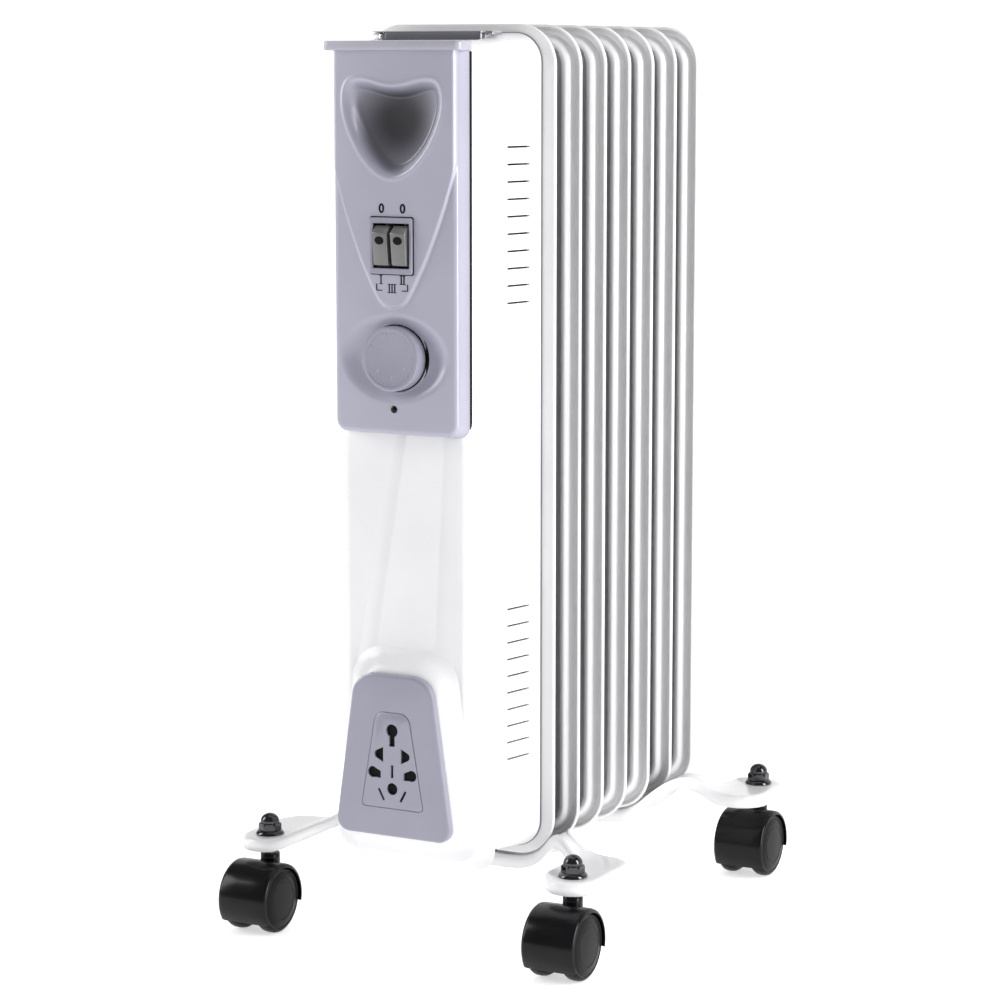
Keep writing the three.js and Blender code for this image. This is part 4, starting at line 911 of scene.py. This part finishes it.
TIP_R = 19.0
FOOT_SHEET = 2.0
NUT_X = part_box("front_right_stem")[0].x / MM + 8.7
ARM_TOP = FIN_LOW + 7
FRONT_SWEEP, REAR_SWEEP = 86, 72
CLAMP_FRONT = LIP + PITCH / 2
CLAMP_REAR = CLAMP_FRONT + 4 * PITCH


def foot_height(x):
    """Height of the foot's top surface at a distance x from the middle."""
    knots = ((0, -2.5), (40, -2.5), (50, -1.8), (58, 0.6), (65, 5), (71, 12), (76, 17), (81, 19), (88, 18.4),
             (95, 14.6), (103, 9.8), (110, 7.4), (118, 7.0), (150, 7.0))
    xs, zs = np.array([k[0] for k in knots], float), np.array([k[1] for k in knots], float)
    fine = np.linspace(0, 150, 301)
    smooth = np.interp(fine, xs, zs)
    for _ in range(40):
        smooth[1:-1] = (smooth[:-2] + 2 * smooth[1:-1] + smooth[2:]) / 4
    return FIN_LOW + np.interp(np.abs(x), fine, smooth)


def foot_edges(sweep, inset):
    """Front and rear edges of one arm in plan, from the middle to the tip, with equal point counts."""
    r = TIP_R - inset
    inner, outer = NUT_X - r, NUT_X + r
    half = 26 - inset
    rear_y = -24 - inset

    def path(points, radii):
        """An open line with rounded corners, spaced evenly."""
        out = [np.array(points[0], float)]
        for i in range(1, len(points) - 1):
            # the three points are rounded as a triangle, and the slice is the middle corner's arc
            corner = rounded((points[i - 1], points[i], points[i + 1]), (0.01, radii[i - 1], 0.01), 7)[8:16]
            out.extend(corner)
        out.append(np.array(points[-1], float))
        out = np.array(out)
        length = np.concatenate([[0], np.cumsum(np.hypot(*np.diff(out, axis=0).T))])
        at = np.linspace(0, length[-1], 72)
        return np.stack([np.interp(at, length, out[:, 0]), np.interp(at, length, out[:, 1])], 1)

    def quarter(start):
        """The tip's rounding from one side to its middle."""
        angles = np.radians(np.linspace(start, 270, 13))
        return [(NUT_X + r * math.cos(a), -sweep + r * math.sin(a)) for a in angles[1:]]

    front = path([(0, -half), (66, -half), (inner, -half - 22), (inner, -sweep)], (30, 18))
    front = np.concatenate([front, quarter(180)])
    rear = path([(0, half), (64, half), (88, rear_y), (outer, rear_y), (outer, -sweep)], (16, 20, 20))
    rear = np.concatenate([rear, quarter(360)])
    return front, rear


def foot_parts(sweep, clamp, direction):
    """Both arms of a foot, clamped at a distance and swept forwards or backwards by direction."""
    rows = []

    def surface(points, drop):
        """Points of a plan laid on the foot's top surface, lowered by drop."""
        return np.stack([points[:, 0], points[:, 1], foot_height(points[:, 0]) - drop], 1)

    def pressed(points, sink):
        """The arm's pressed channel, which runs out before the nut's flat end."""
        fade = smoothstep((NUT_X - 16 - points[:, 0]) / 9)
        return surface(points, sink * fade)

    edge = ((0.0, 9.0), (0.0, 3.2), (0.35, 1.5), (1.2, 0.5), (2.8, 0.0))
    for inset, drop in edge:
        rows.append(surface(foot_edges(sweep, inset)[0], drop))
    sunk_front, sunk_rear = foot_edges(sweep, 6.4)
    rows.append(pressed(foot_edges(sweep, 5.2)[0], 0.0))
    for t in (0.0, 0.2, 0.35, 0.5, 0.65, 0.8, 1.0):
        rows.append(pressed(sunk_front * (1 - t) + sunk_rear * t, 1.1))
    rows.append(pressed(foot_edges(sweep, 5.2)[1], 0.0))
    for inset, drop in reversed(edge):
        rows.append(surface(foot_edges(sweep, inset)[1], drop))
    right = np.array(rows)
    left = right * np.array((-1, 1, 1))
    parts = []
    faces = grid_faces(*right.shape[:2])
    for half, way in ((right, 1), (left, -1)):
        points = half.reshape(-1, 3) * np.array((1, -direction, 1)) + np.array((0, clamp, 0))
        parts.append((points, [face[::way] for face in faces]))
    return parts


def make_foot(end, sweep, clamp, direction):
    """A pressed foot, made of sheet that is thickened away from its top surface."""
    foot = make(f"{end}_foot_pressing", foot_parts(sweep, clamp, direction), WHITE_PAINT, 50)
    up = sum(face.normal.z * face.area for face in foot.data.polygons)
    wall = foot.modifiers.new("wall", "SOLIDIFY")
    wall.thickness = FOOT_SHEET * MM
    wall.offset = -1 if up > 0 else 1
    place(foot, BODY, "white_paint", f"{end}_foot")


# ---- casters ----

WHEEL_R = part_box("front_left_wheel_left")[1].z / MM / 2
HOOD_R = 26.0
HOOD_START, HOOD_END = -14, 216


def hood_parts(cx, cy, sy):
    """The caster's hood round the wheels, the cheek between them, the collar and the axle."""
    rings = []
    # (distance along the axle, height above the hood's inner radius)
    section = ((-19.9, 0.6), (-19.9, 1.0), (-19.5, 2.2), (-18.5, 3.1), (-16.8, 3.45), (-6, 3.6), (6, 3.6),
               (16.8, 3.45), (18.5, 3.1), (19.5, 2.2), (19.9, 1.0), (19.9, 0.6),
               (18.3, 0.6), (17.8, 1.7), (16, 2.3), (-16, 2.3), (-17.8, 1.7), (-18.3, 0.6))
    for degrees in np.linspace(HOOD_START, HOOD_END, 56):
        thin = 0.8 + 0.2 * float(smoothstep(min(degrees - HOOD_START, HOOD_END - degrees) / 30))
        a = math.radians(degrees)
        ring = []
        for x, h in section:
            r = HOOD_R - 3.6 + (h * thin if h > 2.5 else h)
            ring.append((cx + x, cy + r * math.cos(a), WHEEL_R + r * math.sin(a)))
        rings.append(np.array(ring))
    cheek = []
    for x, grow in ((-5.6, -1.2), (-5.2, -0.3), (-4.6, 0), (4.6, 0), (5.2, -0.3), (5.6, -1.2)):
        r, base = HOOD_R - 1.5 + grow, WHEEL_R - 12.4 - grow
        angles = np.radians(np.linspace(-26, 206, 40))
        arc = [(cx + x, cy + r * math.cos(a), WHEEL_R + r * math.sin(a)) for a in angles]
        cheek.append(np.array(arc + [(cx + x, cy - 9, base), (cx + x, cy + 9, base)]))
    collar = [(0, WHEEL_R + 4), (7.4, WHEEL_R + 4), (7.0, 49.5), (6.9, 53.2), (6.5, 53.8), (4.4, 54), (0, 54)]
    axle = [(0, -15.5), (3, -15.5), (3, 15.5), (0, 15.5)]
    return [loft(rings), loft(cheek), turned(collar, (cx, sy, 0), "z", 36),
            turned(axle, (cx, cy, WHEEL_R), "x", 24)]


def wheel_profile(side):
    """(radius, distance along the axle) of a wheel, with its tread and the steps of its outer face."""
    half = [(0, 15.8), (3.4, 15.8), (3.4, 6.3), (12, 6.1), (17.5, 6.4), (20.5, 7.0), (22.6, 8.3),
            (23.7, 10.2), (WHEEL_R, 12.2), (WHEEL_R, 15.2), (23.4, 16.8), (22.2, 17.9), (21.2, 18.3),
            (20.8, 18.2), (20.2, 18.0), (19.6, 18.35), (14.6, 19.2), (14.2, 19.0), (13.6, 19.0),
            (13.2, 19.3), (7, 19.7), (0, 19.8)]
    return [(r, side * x) for r, x in half]


def make_caster(name):
    """One caster: hood, two wheels, acorn nut and stem, placed from its CAD pieces."""
    low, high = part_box(f"{name}_hood")
    cx = (low.x + high.x) / 2 / MM
    wheel_low, wheel_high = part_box(f"{name}_wheel_left")
    cy = (wheel_low.y + wheel_high.y) / 2 / MM - SHIFT
    stem_low, stem_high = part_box(f"{name}_stem")
    sy = (stem_low.y + stem_high.y) / 2 / MM - SHIFT
    hood = make(f"{name}_hood_moulding", hood_parts(cx, cy, sy), BLACK, 40)
    place(hood, f"{name}_swivel", "black_plastic", f"{name}_hood")
    for side, body, direction in (("left", "l", -1), ("right", "r", 1)):
        shell = turned(wheel_profile(direction), (cx, cy, WHEEL_R), "x", 64)
        wheel = make(f"{name}_{side}_wheel_moulding", [shell], WHEEL_BLACK, 24)
        place(wheel, f"{name}_wheel_{body}", "black_plastic", f"{name}_wheel_{side}")
    make_nut(name, cx, sy)
    bolt = [(0, 30.2), (4, 30.2), (4, 58), (9, 62.4), (9, 64.4), (4, 64.6), (4, 74), (0, 74)]
    stem = make(f"{name}_stem_turning", [turned(bolt, (cx, sy, 0), "z", 32)], STEEL)
    place(stem, BODY, "steel", f"{name}_stem")


def make_nut(name, x, y):
    """An acorn nut: the flared washer, the hexagon with chamfered corners and the dome."""
    seat = ARM_TOP + 0.3
    washer = [(4.3, seat), (9.7, seat), (10.1, seat + 0.4), (9.9, seat + 1.3), (8.9, seat + 2.4),
              (7.4, seat + 3), (4.3, seat + 3)]
    angles = np.radians(np.arange(0, 360, 7.5) + 15)
    rings = []
    sector = (angles + math.pi / 6) % (math.pi / 3) - math.pi / 6
    for z, limit in ((seat + 1.4, 7.6), (seat + 2.2, 8.3), (seat + 7.0, 8.3), (seat + 7.9, 7.55),
                     (seat + 8.2, 7.0)):
        radius = np.minimum(7.1 / np.cos(sector), limit)
        rings.append(flat(np.stack([x + radius * np.cos(angles), y + radius * np.sin(angles)], 1), z))
    dome = [(6.6, seat + 7.9), (6.7, seat + 9.4)]
    dome += [(6.7 * math.cos(a), seat + 9.4 + 5.6 * math.sin(a))
             for a in np.radians((15, 30, 45, 60, 75, 88))]
    parts = [turned(washer + [washer[0]], (x, y, 0), "z", 48), loft(rings),
             turned([(0, seat + 7.9)] + dome + [(0, seat + 15)], (x, y, 0), "z", 40)]
    place(make(f"{name}_nut_forging", parts, DARK_CHROME, 30), BODY, "dark_chrome", f"{name}_acorn_nut")


# ---- carried-over pieces, floor and light ----

# the contact carrier is black as painted shade seen through the socket's pin holes
FINISHES = {
    "element_flange": BRASS, "heating_element_1": STEEL, "heating_element_2": STEEL, "filler_plug": STEEL,
    "heat_shield": STEEL, "cord_grommet": RUBBER, "thermostat_shaft": STEEL, "thermostat_body": CERAMIC,
    "switch_body": BLACK, "contact_carrier": INK_AND_SHADE, "terminal_block": CERAMIC, "thermal_cut_out": BLACK,
}


def finish_carried():
    """Gives each CAD piece that is shown as it is a material of this script."""
    for name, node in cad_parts.items():
        finish = FINISHES.get(name, STEEL)
        if node.material_slots:
            node.material_slots[0].material = finish
        else:
            node.data.materials.append(finish)


def make_stage():
    """A pale floor that curves up into a backdrop. Sizes are in metres."""
    width, start, reach, rise, bend = 9.0, -7.0, 4.2, 6.0, 1.6
    profile = [(start, 0.0), (reach - bend, 0.0)]
    profile += [(reach - bend + bend * math.sin(a), bend - bend * math.cos(a))
                for a in np.radians(range(6, 91, 6))]
    profile += [(reach, rise)]
    verts = [(x, y, z) for y, z in profile for x in (-width, width)]
    faces = [(2 * i, 2 * i + 1, 2 * i + 3, 2 * i + 2) for i in range(len(profile) - 1)]
    mesh = bpy.data.meshes.new("floor")
    mesh.from_pydata(verts, [], faces)
    mesh.shade_smooth()
    mesh.materials.append(FLOOR)
    shown("floor", mesh)


def softbox(name, place_at, aim, size, power):
    """A rectangular light aimed at a point. Sizes are in metres and power in watts."""
    data = bpy.data.lights.new(name, "AREA")
    data.shape = "RECTANGLE"
    data.size, data.size_y = size
    data.energy = power
    light = shown(name, data)
    light.location = place_at
    light.rotation_euler = (Vector(aim) - Vector(place_at)).to_track_quat("-Z", "Y").to_euler()


WORLD_LIGHT = 0.22


def make_light():
    """Soft studio light: a pale world, a key light, a side light along the fins and a top light."""
    world = bpy.data.worlds.new("studio")
    world.use_nodes = True
    background = world.node_tree.nodes["Background"]
    background.inputs["Color"].default_value = (1, 1, 1, 1)
    background.inputs["Strength"].default_value = WORLD_LIGHT
    bpy.context.scene.world = world
    softbox("key", (-2.2, -1.25, 1.3), (0, -0.1, 0.35), (1.2, 1.8), 40)
    softbox("side", (2.5, -0.2, 1.1), (0, 0, 0.3), (0.9, 2.2), 66)
    softbox("top", (0, 0.2, 3.2), (0, 0, 0.3), (2.0, 2.0), 9)
    bpy.context.scene.view_settings.view_transform = "Standard"


# ---- everything ----

for fin_number in range(1, FIN_COUNT + 1):
    make_fin(fin_number)
make_cover()
make_panel()
make_well()
make_shadow_strip()
make_lid()
make_dial()
make_lens()
make_lettering()
make_switches()
make_socket()
make_handle()
make_foot("front", FRONT_SWEEP, CLAMP_FRONT, -1)
make_foot("rear", REAR_SWEEP, CLAMP_REAR, 1)
for corner_name in CORNERS:
    make_caster(corner_name)
finish_carried()
make_stage()
make_light()
